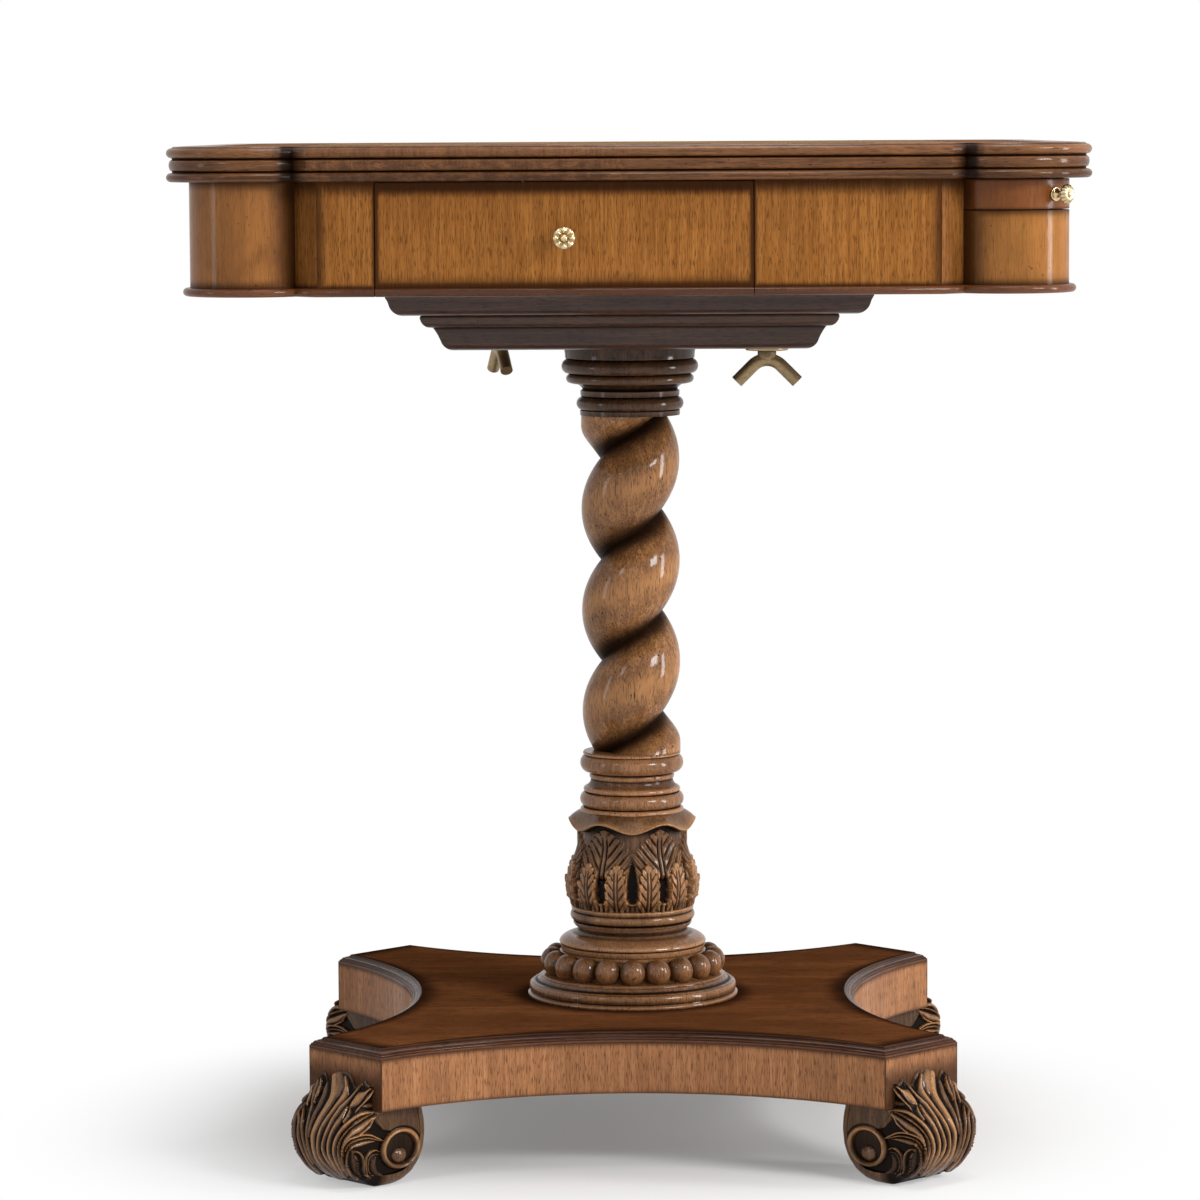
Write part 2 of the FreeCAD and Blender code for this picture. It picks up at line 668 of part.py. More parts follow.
def make_head():
    head = new_body("head_block")
    steps = ((0, "(head_thick - head_bead) / 3", "(head_half - head_lower_step)"),
             (1, "(head_thick - head_bead) / 3", "(head_half - head_middle_step)"),
             (2, "(head_thick - head_bead) / 3", "(head_half - head_upper_step)"),
             (3, "head_bead", "head_half"))
    for index, thick, half in steps:
        level = "(%s + %d * (head_thick - head_bead) / 3)" % (HEAD_FOOT, index)
        pad(head, outline(head, "XY_Plane", "step", square(half), level), thick)
    pocket(head, ring(head, "bore", ROD_BORE, level=HEAD_FOOT), "head_thick")
    pocket_foot = "(%s + head_thick - nut_pocket_depth)" % HEAD_FOOT
    pocket(head, ring(head, "nut_pocket", "nut_pocket_radius", level=pocket_foot), "nut_pocket_depth")
    for name, right, back, degrees in WINGS:
        hole = ring(head, "bolt_hole", "(bolt_radius + shaft_gap + bolt_hole_room)",
                    "%d * %s" % (right, WING_PLACE),
                    "%d * %s" % (back, WING_PLACE), level=HEAD_FOOT)
        pocket(head, hole, "head_thick")
    keep(head, "head_block")

    bearer = new_body("bearer_board")
    lower = outline(bearer, "XY_Plane", "lower", square("(bearer_half - bearer_step)"), BEARER_FOOT)
    pad(bearer, lower, "bearer_lower_share * bearer_thick")
    middle = "(%s + bearer_lower_share * bearer_thick)" % BEARER_FOOT
    pad(bearer, outline(bearer, "XY_Plane", "upper", square("bearer_half"), middle),
        "(1 - bearer_lower_share) * bearer_thick")
    for name, right, back, degrees in WINGS:
        hole = ring(bearer, "insert_hole", "(insert_radius + shaft_gap)", "%d * %s" % (right, WING_PLACE),
                    "%d * %s" % (back, WING_PLACE), level=BEARER_FOOT)
        pocket(bearer, hole, "insert_length")
    keep(bearer, "bearer_board")

    inserts = []
    for name, right, back, degrees in WINGS:
        insert = new_body("insert")
        pad(insert, ring(insert, "outside", "insert_radius", level=BEARER_FOOT), "insert_length")
        thread = ring(insert, "thread", "(bolt_radius + shaft_gap)", level=BEARER_FOOT)
        pocket(insert, thread, "insert_length")
        place = value(WING_PLACE)
        inserts.append(turned(insert, 0, right * place, back * place))
    group("threaded_inserts", inserts)

    for name, right, back, degrees in WINGS:
        make_wing_bolt(name, right, back, degrees)


def make_wing_bolt(name, right, back, degrees):
    place = value(WING_PLACE)
    washer = new_body("wing_washer_" + name)
    seat = "(%s - washer_thick)" % HEAD_FOOT
    pad(washer, ring(washer, "outside", "washer_radius", level=seat), "washer_thick")
    pocket(washer, ring(washer, "hole", "(bolt_radius + 2 * shaft_gap)", level=seat), "washer_thick")
    keep(turned(washer, degrees, right * place, back * place), "wing_washer_" + name)

    bolt = new_body("wing_bolt_" + name)
    axis = "(%s - wing_bar_drop)" % HEAD_FOOT
    slope = "sqrt(0.5)"
    bend_x = "wing_bend * %s" % slope
    bend_z = "(%s - wing_bend * (1 - %s))" % (axis, slope)
    path = outline(bolt, "XZ_Plane", "bar_path",
                   [("0", axis, "wing_bend", -1),
                    (bend_x, bend_z),
                    ("(%s + wing_arm * %s)" % (bend_x, slope), "(%s - wing_arm * %s)" % (bend_z, slope))],
                   closed=False)
    round_bar = ring(bolt, "bar", "wing_bar_radius", "0", axis, plane="YZ_Plane")
    arm = bolt.newObject("PartDesign::AdditivePipe", "arm")
    arm.Profile = round_bar
    arm.Spine = (path, ["Edge1", "Edge2"])
    mirror = bolt.newObject("PartDesign::Mirrored", "second_arm")
    mirror.Originals = [arm]
    mirror.MirrorPlane = ([item for item in bolt.Origin.OriginFeatures if item.Role == "YZ_Plane"][0], [""])
    bolt.Tip = mirror
    hub_top = "(%s - washer_thick - hub_gap)" % HEAD_FOOT
    pad(bolt, ring(bolt, "hub", "(bolt_radius + hub_wall)", level=axis), "(%s - %s)" % (hub_top, axis))
    shank_top = "(%s + insert_length - bolt_end_room)" % BEARER_FOOT
    pad(bolt, ring(bolt, "shank", "bolt_radius", level=axis), "(%s - %s)" % (shank_top, axis))
    keep(turned(bolt, degrees, right * place, back * place), "wing_bolt_" + name)


# ---------------------------------------------------------------- case

def half_turn(thing):
    """Stand a piece at the back, a half turn about the table's middle."""
    return turned(thing, 180)


def rail_path(start, end, out, back):
    """A straight strip along the front between two x ordinates."""
    return [(start, "-(case_half + %s)" % out), (end, "-(case_half + %s)" % out),
            (end, "-(case_half - %s)" % back), (start, "-(case_half - %s)" % back)]


def mitred_end(side, out, back):
    """The two corners where a front strip meets the cant, outer one first."""
    shift = "(sqrt(2) - 1)"
    return (("%d * (%s + %s * %s)" % (side, STRAIGHT_HALF, shift, out), "-(case_half + %s)" % out),
            ("%d * (%s - %s * %s)" % (side, STRAIGHT_HALF, shift, back), "-(case_half - %s)" % back))


def front_strip(name, left_x, right_x, out, back, level, height):
    """A front strip: an end given as None is mitred to its cant."""
    body = new_body(name)
    outer_left, inner_left = mitred_end(-1, out, back)
    outer_right, inner_right = mitred_end(1, out, back)
    if left_x is not None:
        outer_left = (left_x, outer_left[1])
        inner_left = (left_x, inner_left[1])
    if right_x is not None:
        outer_right = (right_x, outer_right[1])
        inner_right = (right_x, inner_right[1])
    path = [outer_left, outer_right, inner_right, inner_left]
    pad(body, outline(body, "XY_Plane", "plan", path, level), height)
    return body


def cant_strip(name, out, back, level, height):
    """A strip along the front right cant, mitred to its neighbours."""
    body = new_body(name)
    outer, inner = mitred_end(1, out, back)
    path = [outer, tuple(swap(outer)), tuple(swap(inner)), inner]
    pad(body, outline(body, "XY_Plane", "plan", path, level), height)
    return body


def swap(point):
    """Mirror a front right point in the diagonal that runs through the turret."""
    return ("-(%s)" % point[1], "-(%s)" % point[0])


def turret_path(radius):
    """The part of the turret's circle outside the cant, on the diagonal as +X."""
    reach = "(sqrt(2) * %s - %s)" % (TURRET_CENTRE, CANT_FACE)
    half = "sqrt(pow(%s; 2) - pow(%s; 2))" % (radius, reach)
    arc = (radius, 1, "long") if value(reach) > 0 else (radius, 1)
    return [(CANT_FACE, "-" + half) + arc, (CANT_FACE, half)]


def make_case():
    gap_left = "-(%s + door_gap)" % DRAWER_LEFT
    gap_right = "(%s + door_gap)" % DRAWER_RIGHT
    for name, place in (("front", lambda thing: thing), ("back", half_turn)):
        rails = [place(front_strip("rail", None, gap_left, "0", "rail_thick", CASE_FOOT, "case_height")),
                 place(front_strip("rail", gap_right, None, "0", "rail_thick", CASE_FOOT, "case_height"))]
        group("%s_rails" % name, rails)
    for name, degrees in (("right", 90), ("left", 270)):
        rail = front_strip("%s_rail" % name, None, None, "0", "rail_thick", CASE_FOOT, "case_height")
        keep(turned(rail, degrees), "%s_rail" % name)

    boards = []
    for degrees in (0, 90, 180, 270):
        board = cant_strip("cant_board", "0", "cant_thick", CASE_FOOT, "case_height")
        if degrees in (0, 180):
            half = "(slide_half + slide_gap)"
            notch_foot = "(%s - door_gap)" % SLIDE_FOOT
            low = "(%s - cant_thick - 2)" % CANT_FACE
            high = "(%s + 2)" % CANT_FACE
            corners = [(low, "-" + half), (high, "-" + half), (high, half), (low, half)]
            path = [("(%s + %s) * sqrt(0.5)" % point, "(%s - %s) * sqrt(0.5)" % (point[1], point[0]))
                    for point in corners]
            pocket(board, outline(board, "XY_Plane", "notch", path, notch_foot), "case_height")
        boards.append(turned(board, degrees))
    group("cant_boards", boards)

    for name, degrees in (("front_right", -45), ("back_right", 45), ("back_left", 135), ("front_left", 225)):
        turret = new_body("turret_" + name)
        height = "case_height" if name in ("back_right", "front_left") else (
            "(%s - door_gap - %s)" % (SLIDE_FOOT, CASE_FOOT))
        pad(turret, outline(turret, "XY_Plane", "plan", turret_path("turret_radius"), CASE_FOOT), height)
        keep(turned(turret, degrees), "turret_" + name)

    bottom = new_body("case_bottom")
    pad(bottom, outline(bottom, "XY_Plane", "plan", canted_square("rail_thick"), BEAD_FOOT), "bead_height")
    keep(bottom, "case_bottom")

    pieces = []
    for place in (lambda thing: thing, half_turn):
        pieces.append(place(front_strip("bead", None, gap_left, "bead_overhang", "rail_thick",
                                        BEAD_FOOT, "bead_height")))
        pieces.append(place(front_strip("bead", gap_right, None, "bead_overhang", "rail_thick",
                                        BEAD_FOOT, "bead_height")))
    for degrees in (90, 270):
        pieces.append(turned(front_strip("bead", None, None, "bead_overhang", "rail_thick",
                                         BEAD_FOOT, "bead_height"), degrees))
    for degrees in (0, 90, 180, 270):
        pieces.append(turned(corner_bead(), degrees))
    group("base_bead", pieces)


def canted_square(inset):
    """The case's plan without its turrets, moved in by inset."""
    half = "(case_half - %s)" % inset
    straight = "(%s - (sqrt(2) - 1) * %s)" % (STRAIGHT_HALF, inset)
    path = []
    for right, back in ((1, -1), (1, 1), (-1, 1), (-1, -1)):
        first, second = (straight, half) if right != back else (half, straight)
        path.append(("%d * %s" % (right, first), "%d * %s" % (back, second)))
        path.append(("%d * %s" % (right, second), "%d * %s" % (back, first)))
    return path


def corner_bead():
    """The bead's front right corner piece: the cant strip and the turret's round in one."""
    body = new_body("corner_bead")
    path = case_outline("bead_overhang")[:4]
    inner = mitred_end(1, "bead_overhang", "rail_thick")[1]
    path = path + [swap(inner), inner]
    pad(body, outline(body, "XY_Plane", "plan", path, BEAD_FOOT), "bead_height")
    return body


# ---------------------------------------------------------------- drawers

def make_drawers():
    for name, place in (("front", lambda thing: thing), ("back", half_turn)):
        make_drawer(name, place)
    runners = []
    for degrees in (0, 180):
        for mirrored in (False, True):
            runners.append(turned(make_runner(mirrored), degrees))
    group("drawer_runners", runners)


def make_drawer(name, place):
    front = new_body("%s_drawer_front" % name)
    strip = rail_path("-" + DRAWER_LEFT, DRAWER_RIGHT, "0", "rail_thick")
    board_foot = "(%s - front_drop)" % CASE_FOOT
    pad(front, outline(front, "XY_Plane", "board", strip, board_foot),
        "(case_height + front_drop - door_gap)")
    bead = rail_path("-" + DRAWER_LEFT, DRAWER_RIGHT, "bead_overhang", "(rail_thick - door_gap)")
    pad(front, outline(front, "XY_Plane", "bead", bead, BEAD_FOOT), "bead_height")
    knob_level = "(%s - knob_drop)" % TOP_UNDER
    back_face = "(case_half - rail_thick)"
    hole = ring(front, "screw_hole", "2.05", DRAWER_MIDDLE, knob_level, plane="XZ_Plane", level=back_face)
    pocket(front, hole, "rail_thick")
    keep(place(front), "%s_drawer_front" % name)

    box = new_body("%s_drawer_box" % name)
    left = "-(%s - drawer_inset)" % DRAWER_LEFT
    right = "(%s - drawer_inset)" % DRAWER_RIGHT
    back = "-drawer_back_place"
    near = "-(case_half - rail_thick)"
    path = [(left, near), ("(%s + drawer_side)" % left, near),
            ("(%s + drawer_side)" % left, "(%s - drawer_side)" % back),
            ("(%s - drawer_side)" % right, "(%s - drawer_side)" % back),
            ("(%s - drawer_side)" % right, near), (right, near), (right, back), (left, back)]
    pad(box, outline(box, "XY_Plane", "plan", path, DRAWER_FOOT),
        "(case_height - runner_height - running_gap - drawer_headroom)")
    groove_foot = "(%s + groove_rise)" % DRAWER_FOOT
    bottom = [("(%s + drawer_side - groove_depth)" % left, near),
              ("(%s - drawer_side + groove_depth)" % right, near),
              ("(%s - drawer_side + groove_depth)" % right, "(%s - drawer_side + groove_depth)" % back),
              ("(%s + drawer_side - groove_depth)" % left, "(%s - drawer_side + groove_depth)" % back)]
    pocket(box, outline(box, "XY_Plane", "groove", bottom, groove_foot), "drawer_bottom_thick")
    keep(place(box), "%s_drawer_box" % name)

    panel = new_body("%s_drawer_bottom" % name)
    pad(panel, outline(panel, "XY_Plane", "plan", bottom, groove_foot), "drawer_bottom_thick")
    keep(place(panel), "%s_drawer_bottom" % name)

    knob = knob_body("%s_drawer_knob" % name, "knob_radius", "knob_length")
    middle = value(DRAWER_MIDDLE)
    face = value("case_half")
    level = value(knob_level)
    if name == "front":
        stand = Placement(Vector(middle, -face, level), Rotation(Vector(1, 0, 0), 90))
    else:
        stand = Placement(Vector(-middle, face, level), Rotation(Vector(1, 0, 0), -90))
    knob.Placement = stand
    keep(knob, "%s_drawer_knob" % name)


def knob_body(name, radius, length):
    """A turned knob whose backplate lies on z = 0, its screw below, its face at +Z."""
    knob = new_body(name)
    path = [("0", "-screw_length"), ("screw_radius", "-screw_length"), ("screw_radius", "0"),
            ("0.78 * %s" % radius, "0"),
            ("0.7 * %s" % radius, "2"), ("0.4 * %s" % radius, "3"),
            ("0.34 * %s" % radius, "0.5 * %s" % length), (radius, "0.72 * %s" % length),
            ("0.96 * %s" % radius, "0.84 * %s" % length), ("0.5 * %s" % radius, length), ("0", length)]
    revolve(knob, outline(knob, "XZ_Plane", "profile", path))
    return knob


def make_runner(mirrored):
    """An L-shaped bearer under and beside one side of the front drawer."""
    body = new_body("runner")
    if mirrored:
        side, way = "(%s - drawer_inset)" % DRAWER_RIGHT, "1"
    else:
        side, way = "(%s - drawer_inset)" % DRAWER_LEFT, "-1"
    near = "-(case_half - rail_thick)"
    stop_face = "-(drawer_back_place - running_gap)"
    far = above(stop_face, "stop_length")
    inner = "%s * (%s - runner_width)" % (way, side)
    edge = "%s * (%s + running_gap)" % (way, side)
    outer = "%s * (%s + running_gap + guide_width)" % (way, side)
    ledge = [(inner, near), (outer, near), (outer, far), (inner, far)]
    guide = [(edge, near), (outer, near), (outer, far), (edge, far)]
    pad(body, outline(body, "XY_Plane", "ledge", ledge, CASE_FOOT), "runner_height")
    ledge_top = above(CASE_FOOT, "runner_height")
    pad(body, outline(body, "XY_Plane", "guide", guide, ledge_top), "(guide_height - runner_height)")
    stop = [(inner, stop_face), (edge, stop_face), (edge, far), (inner, far)]
    pad(body, outline(body, "XY_Plane", "stop", stop, ledge_top), "(guide_height - runner_height)")
    return body


# ---------------------------------------------------------------- drinks slides

def make_slides():
    runners = []
    for name, degrees in (("front_right", -45), ("back_left", 135)):
        board = new_body("slide_board_" + name)
        nose = outline(board, "XY_Plane", "nose", turret_path("turret_radius"), SLIDE_FOOT)
        pad(board, nose, "slide_nose")
        shelf = [(SLIDE_INNER, "-slide_half"), ("(%s + shelf_tenon)" % CANT_FACE, "-slide_half"),
                 ("(%s + shelf_tenon)" % CANT_FACE, "slide_half"), (SLIDE_INNER, "slide_half")]
        shelf_foot = "(%s + shelf_step)" % SLIDE_FOOT
        pad(board, outline(board, "XY_Plane", "shelf", shelf, shelf_foot), "slide_thick")
        knob_level = "(%s + slide_nose / 2)" % SLIDE_FOOT
        hole = ring(board, "screw_hole", "(screw_radius + shaft_gap)", "0", knob_level, plane="YZ_Plane",
                    level="(%s - screw_length - screw_room)" % TURRET_TIP)
        pocket(board, hole, "(2 * screw_length)")
        keep(turned(board, degrees), "slide_board_" + name)

        knob = knob_body("slide_knob_" + name, "slide_knob_radius", "slide_knob_length")
        turn = math.radians(degrees)
        reach = value(TURRET_TIP)
        across = Rotation(Vector(0, 0, 1), degrees).multiply(Rotation(Vector(0, 1, 0), 90))
        seat = Vector(reach * math.cos(turn), reach * math.sin(turn), value(knob_level))
        knob.Placement = Placement(seat, across)
        keep(knob, "slide_knob_" + name)

        for side in ("1", "-1"):
            runner = new_body("slide_runner")
            inner = "%s * (slide_half - slide_bearing)" % side
            edge = "%s * (slide_half + running_gap)" % side
            outer = "%s * (slide_half + running_gap + slide_runner_thick)" % side
            end = "(%s - cant_thick)" % CANT_FACE
            ledge_foot = "(%s + shelf_step - running_gap - slide_runner_thick)" % SLIDE_FOOT
            start = SLIDE_RUNNER_INNER
            ledge = [(start, inner), (end, inner), (end, outer), (start, outer)]
            cheek = [(start, edge), (end, edge), (end, outer), (start, outer)]
            pad(runner, outline(runner, "XY_Plane", "ledge", ledge, ledge_foot), "slide_runner_thick")
            cheek_foot = "(%s + slide_runner_thick)" % ledge_foot
            pad(runner, outline(runner, "XY_Plane", "cheek", cheek, cheek_foot),
                "(%s - %s)" % (TOP_UNDER, cheek_foot))
            runners.append(turned(runner, degrees))
    group("slide_runners", runners)


# ---------------------------------------------------------------- top

def make_top():
    edge = new_body("top_edge_moulding")
    cove = "(top_overhang - top_cove_depth)"
    levels = ((TOP_UNDER, "top_lower_bead", "top_overhang"),
              ("(%s + top_lower_bead)" % TOP_UNDER, "(top_thick - top_lower_bead - top_upper_bead)", cove),
              ("(table_height - top_upper_bead)", "top_upper_bead", "top_overhang"))
    for level, thick, out in levels:
        pad(edge, outline(edge, "XY_Plane", "member", case_outline(out), level), thick)
    inner = case_outline("(-edge_width)")
    pocket(edge, outline(edge, "XY_Plane", "inside", inner, TOP_UNDER), "top_thick")
    keep(edge, "top_edge_moulding")

    core = new_body("top_core")
    pad(core, outline(core, "XY_Plane", "plan", inner, TOP_UNDER), "(top_thick - veneer)")
    keep(core, "top_core")

    face = "(table_height - veneer)"
    field = "(%s * squares_per_side / 2)" % SQUARE_SIDE
    border = new_body("top_border_veneer")
    pad(border, outline(border, "XY_Plane", "plan", inner, face), "veneer")
    opening = square("(%s + string_width)" % field)
    pocket(border, outline(border, "XY_Plane", "field", opening, face), "veneer")
    keep(border, "top_border_veneer")

    string = new_body("field_stringing")
    pad(string, outline(string, "XY_Plane", "outside", opening, face), "veneer")
    pocket(string, outline(string, "XY_Plane", "inside", square(field), face), "veneer")
    keep(string, "field_stringing")

    squares = {"light_squares": [], "dark_squares": []}
    names = ("dark_squares", "light_squares")
    for column in range(int(value("squares_per_side"))):
        for line in range(int(value("squares_per_side"))):
            x = "(%d * %s - %s)" % (column, SQUARE_SIDE, field)
            y = "(%d * %s - %s)" % (line, SQUARE_SIDE, field)
            tile = block("square", x, y, face, SQUARE_SIDE, SQUARE_SIDE, "veneer")
            squares[names[(column + line) % 2]].append(tile)
    for name, tiles in squares.items():
        group(name, tiles)


def check_and_write():
    """Stop on any failed object or faulty shape, then write one STEP file for each node."""
    doc.recompute()
    for thing in doc.Objects:
        if "Invalid" in thing.State or "Error" in thing.State:
            raise RuntimeError("%s failed: %s" % (thing.Label, thing.State))
    for node in NODES:
        if node.Shape.isNull() or not node.Shape.isValid() or not node.Shape.Solids:
            raise RuntimeError("%s has a faulty shape" % node.Label)
    os.makedirs("parts", exist_ok=True)
    for node in NODES:
        node.Shape.exportStep("parts/%s.step" % node.Label)
        box = node.Shape.BoundBox
        print("%-28s %3d solids %10.0f mm3  x %7.1f %7.1f  y %7.1f %7.1f  z %6.1f %6.1f" % (
            node.Label, len(node.Shape.Solids), node.Shape.Volume,
            box.XMin, box.XMax, box.YMin, box.YMax, box.ZMin, box.ZMax))
    print(len(NODES), "nodes")


make_plinth()
make_feet()
make_column()
make_tie_rod()
make_head()
make_case()
make_drawers()
make_slides()
make_top()
check_and_write()
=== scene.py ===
"""Looks of the pedestal chess table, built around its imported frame.

Sizes are in millimetres until a mesh is made, which is in metres. +X right, -Y front, +Z up.
"""
import logging
import math
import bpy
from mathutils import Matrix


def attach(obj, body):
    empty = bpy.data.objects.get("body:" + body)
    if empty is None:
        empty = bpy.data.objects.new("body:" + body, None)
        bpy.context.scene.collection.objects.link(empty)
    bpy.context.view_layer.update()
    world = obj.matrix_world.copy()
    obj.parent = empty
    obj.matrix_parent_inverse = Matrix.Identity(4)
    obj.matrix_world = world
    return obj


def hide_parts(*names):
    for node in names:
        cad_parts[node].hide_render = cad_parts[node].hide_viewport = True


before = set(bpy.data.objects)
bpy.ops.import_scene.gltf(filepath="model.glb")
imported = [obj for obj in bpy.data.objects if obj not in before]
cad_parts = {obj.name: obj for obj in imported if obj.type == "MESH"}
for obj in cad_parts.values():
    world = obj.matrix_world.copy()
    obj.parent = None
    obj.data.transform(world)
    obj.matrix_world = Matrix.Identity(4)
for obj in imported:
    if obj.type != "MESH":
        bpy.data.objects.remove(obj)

import zlib
from dataclasses import dataclass, replace
from enum import Enum
from typing import Callable, Optional, Sequence, Union

import bmesh
import bpy
import numpy as np
from mathutils import Matrix, Vector

LOG = logging.getLogger("chess_table")
MM = 0.001
TABLE = "table"
QUARTERS = (0, 90, 180, 270)
CORNERS = (("front_right", -45.0), ("back_right", 45.0), ("back_left", 135.0), ("front_left", 225.0))
SLIDES = CORNERS[::2]
BOLT_PLACE = 102.5
Colour = tuple[float, float, float]
Place = tuple[float, float, float]
Corner = tuple[float, ...]
Reach = Union[np.ndarray, float]


# ---------------------------------------------------------------- outlines and meshes

def bent(corners: Sequence[Corner], pieces: int = 8) -> np.ndarray:
    """Sample an outline of straight and round stretches.

    Args:
        corners: (a, b), or (a, b, bulge) for a corner reached along an arc. The bulge is the arc's
            rise over half its chord, and it is positive where the arc swells to the right of the way.
        pieces: chords that stand for one arc.
    Returns:
        The points, (n, 2).
    """
    points = [np.array(corners[0][:2], float)]
    for before, after in zip(corners, corners[1:]):
        start, end = np.array(before[:2], float), np.array(after[:2], float)
        bulge = after[2] if len(after) > 2 else 0.0
        if bulge:
            chord = end - start
            right = np.array([chord[1], -chord[0]]) / 2
            centre = (start + end) / 2 + right * (bulge - 1 / bulge) / 2
            arm = start - centre
            for step in range(1, pieces):
                turn = 4 * math.atan(bulge) * step / pieces
                cos, sin = math.cos(turn), math.sin(turn)
                points.append(centre + [arm[0] * cos - arm[1] * sin, arm[0] * sin + arm[1] * cos])
        points.append(end)
    return np.array(points)


def lengths(points: np.ndarray) -> np.ndarray:
    """Return how far along the outline each point lies."""
    steps = np.linalg.norm(np.diff(points, axis=0), axis=1)
    return np.concatenate([[0.0], np.cumsum(steps)])


def hollows(outline: np.ndarray, reach: float) -> np.ndarray:
    """Say how far an open outline stands out from, or lies in, its smoothed self.

    Args:
        outline: the points, with the outside to the right of the way.
        reach: length over which it is smoothed.
    Returns:
        One value a point, 0.5 where it is flat, nearer 0 in a hollow and nearer 1 on a crest.
    """
    along = lengths(outline)
    weight = np.exp(-((along[:, None] - along[None, :]) / reach) ** 2) * (np.gradient(along) + 1e-6)
    smooth = (weight @ outline) / weight.sum(1, keepdims=True)
    way = np.gradient(outline, axis=0)
    out = np.stack([way[:, 1], -way[:, 0]], 1) / (np.linalg.norm(way, axis=1, keepdims=True) + 1e-9)
    return np.clip(0.5 + ((outline - smooth) * out).sum(1) / reach * 2.2, 0, 1)


def even_turns(count: int) -> np.ndarray:
    """Return the angles of that many even steps round a circle."""
    return np.arange(count) * 2 * math.pi / count


def eased(count: int) -> np.ndarray:
    """Return places from 0 to 1 that lie closer together towards both ends."""
    return (1 - np.cos(np.linspace(0, math.pi, count))) / 2


def polar(reach: Reach, angles: np.ndarray, level: Reach) -> np.ndarray:
    """Return points given by how far out, which way round and how high they are."""
    return np.stack([reach * np.cos(angles), reach * np.sin(angles), level + 0 * angles], -1)


def at_level(plan: np.ndarray, level: float) -> np.ndarray:
    """Return a plan's points at one level."""
    return np.column_stack([plan, np.full(len(plan), level)])


def about_z(degrees: float) -> Matrix:
    """Return a turn about the table's axis."""
    return Matrix.Rotation(math.radians(degrees), 4, "Z")


def turned(points: np.ndarray, degrees: float) -> np.ndarray:
    """Turn points about the table's axis."""
    cos, sin = math.cos(math.radians(degrees)), math.sin(math.radians(degrees))
    x, y = points[..., 0] * cos - points[..., 1] * sin, points[..., 0] * sin + points[..., 1] * cos
    return np.concatenate([np.stack([x, y], -1), points[..., 2:]], -1)


def smoothstep(value: np.ndarray, low: float, high: float) -> np.ndarray:
    """Return 0 below low, 1 above high and an even rise between; low may be the larger."""
    share = np.clip((value - low) / (high - low), 0, 1)
    return share * share * (3 - 2 * share)


def placed(name: str, data: bpy.types.ID) -> bpy.types.Object:
    """Make an object of its data and put it in the scene."""
    made = bpy.data.objects.new(name, data)
    bpy.context.scene.collection.objects.link(made)
    return made


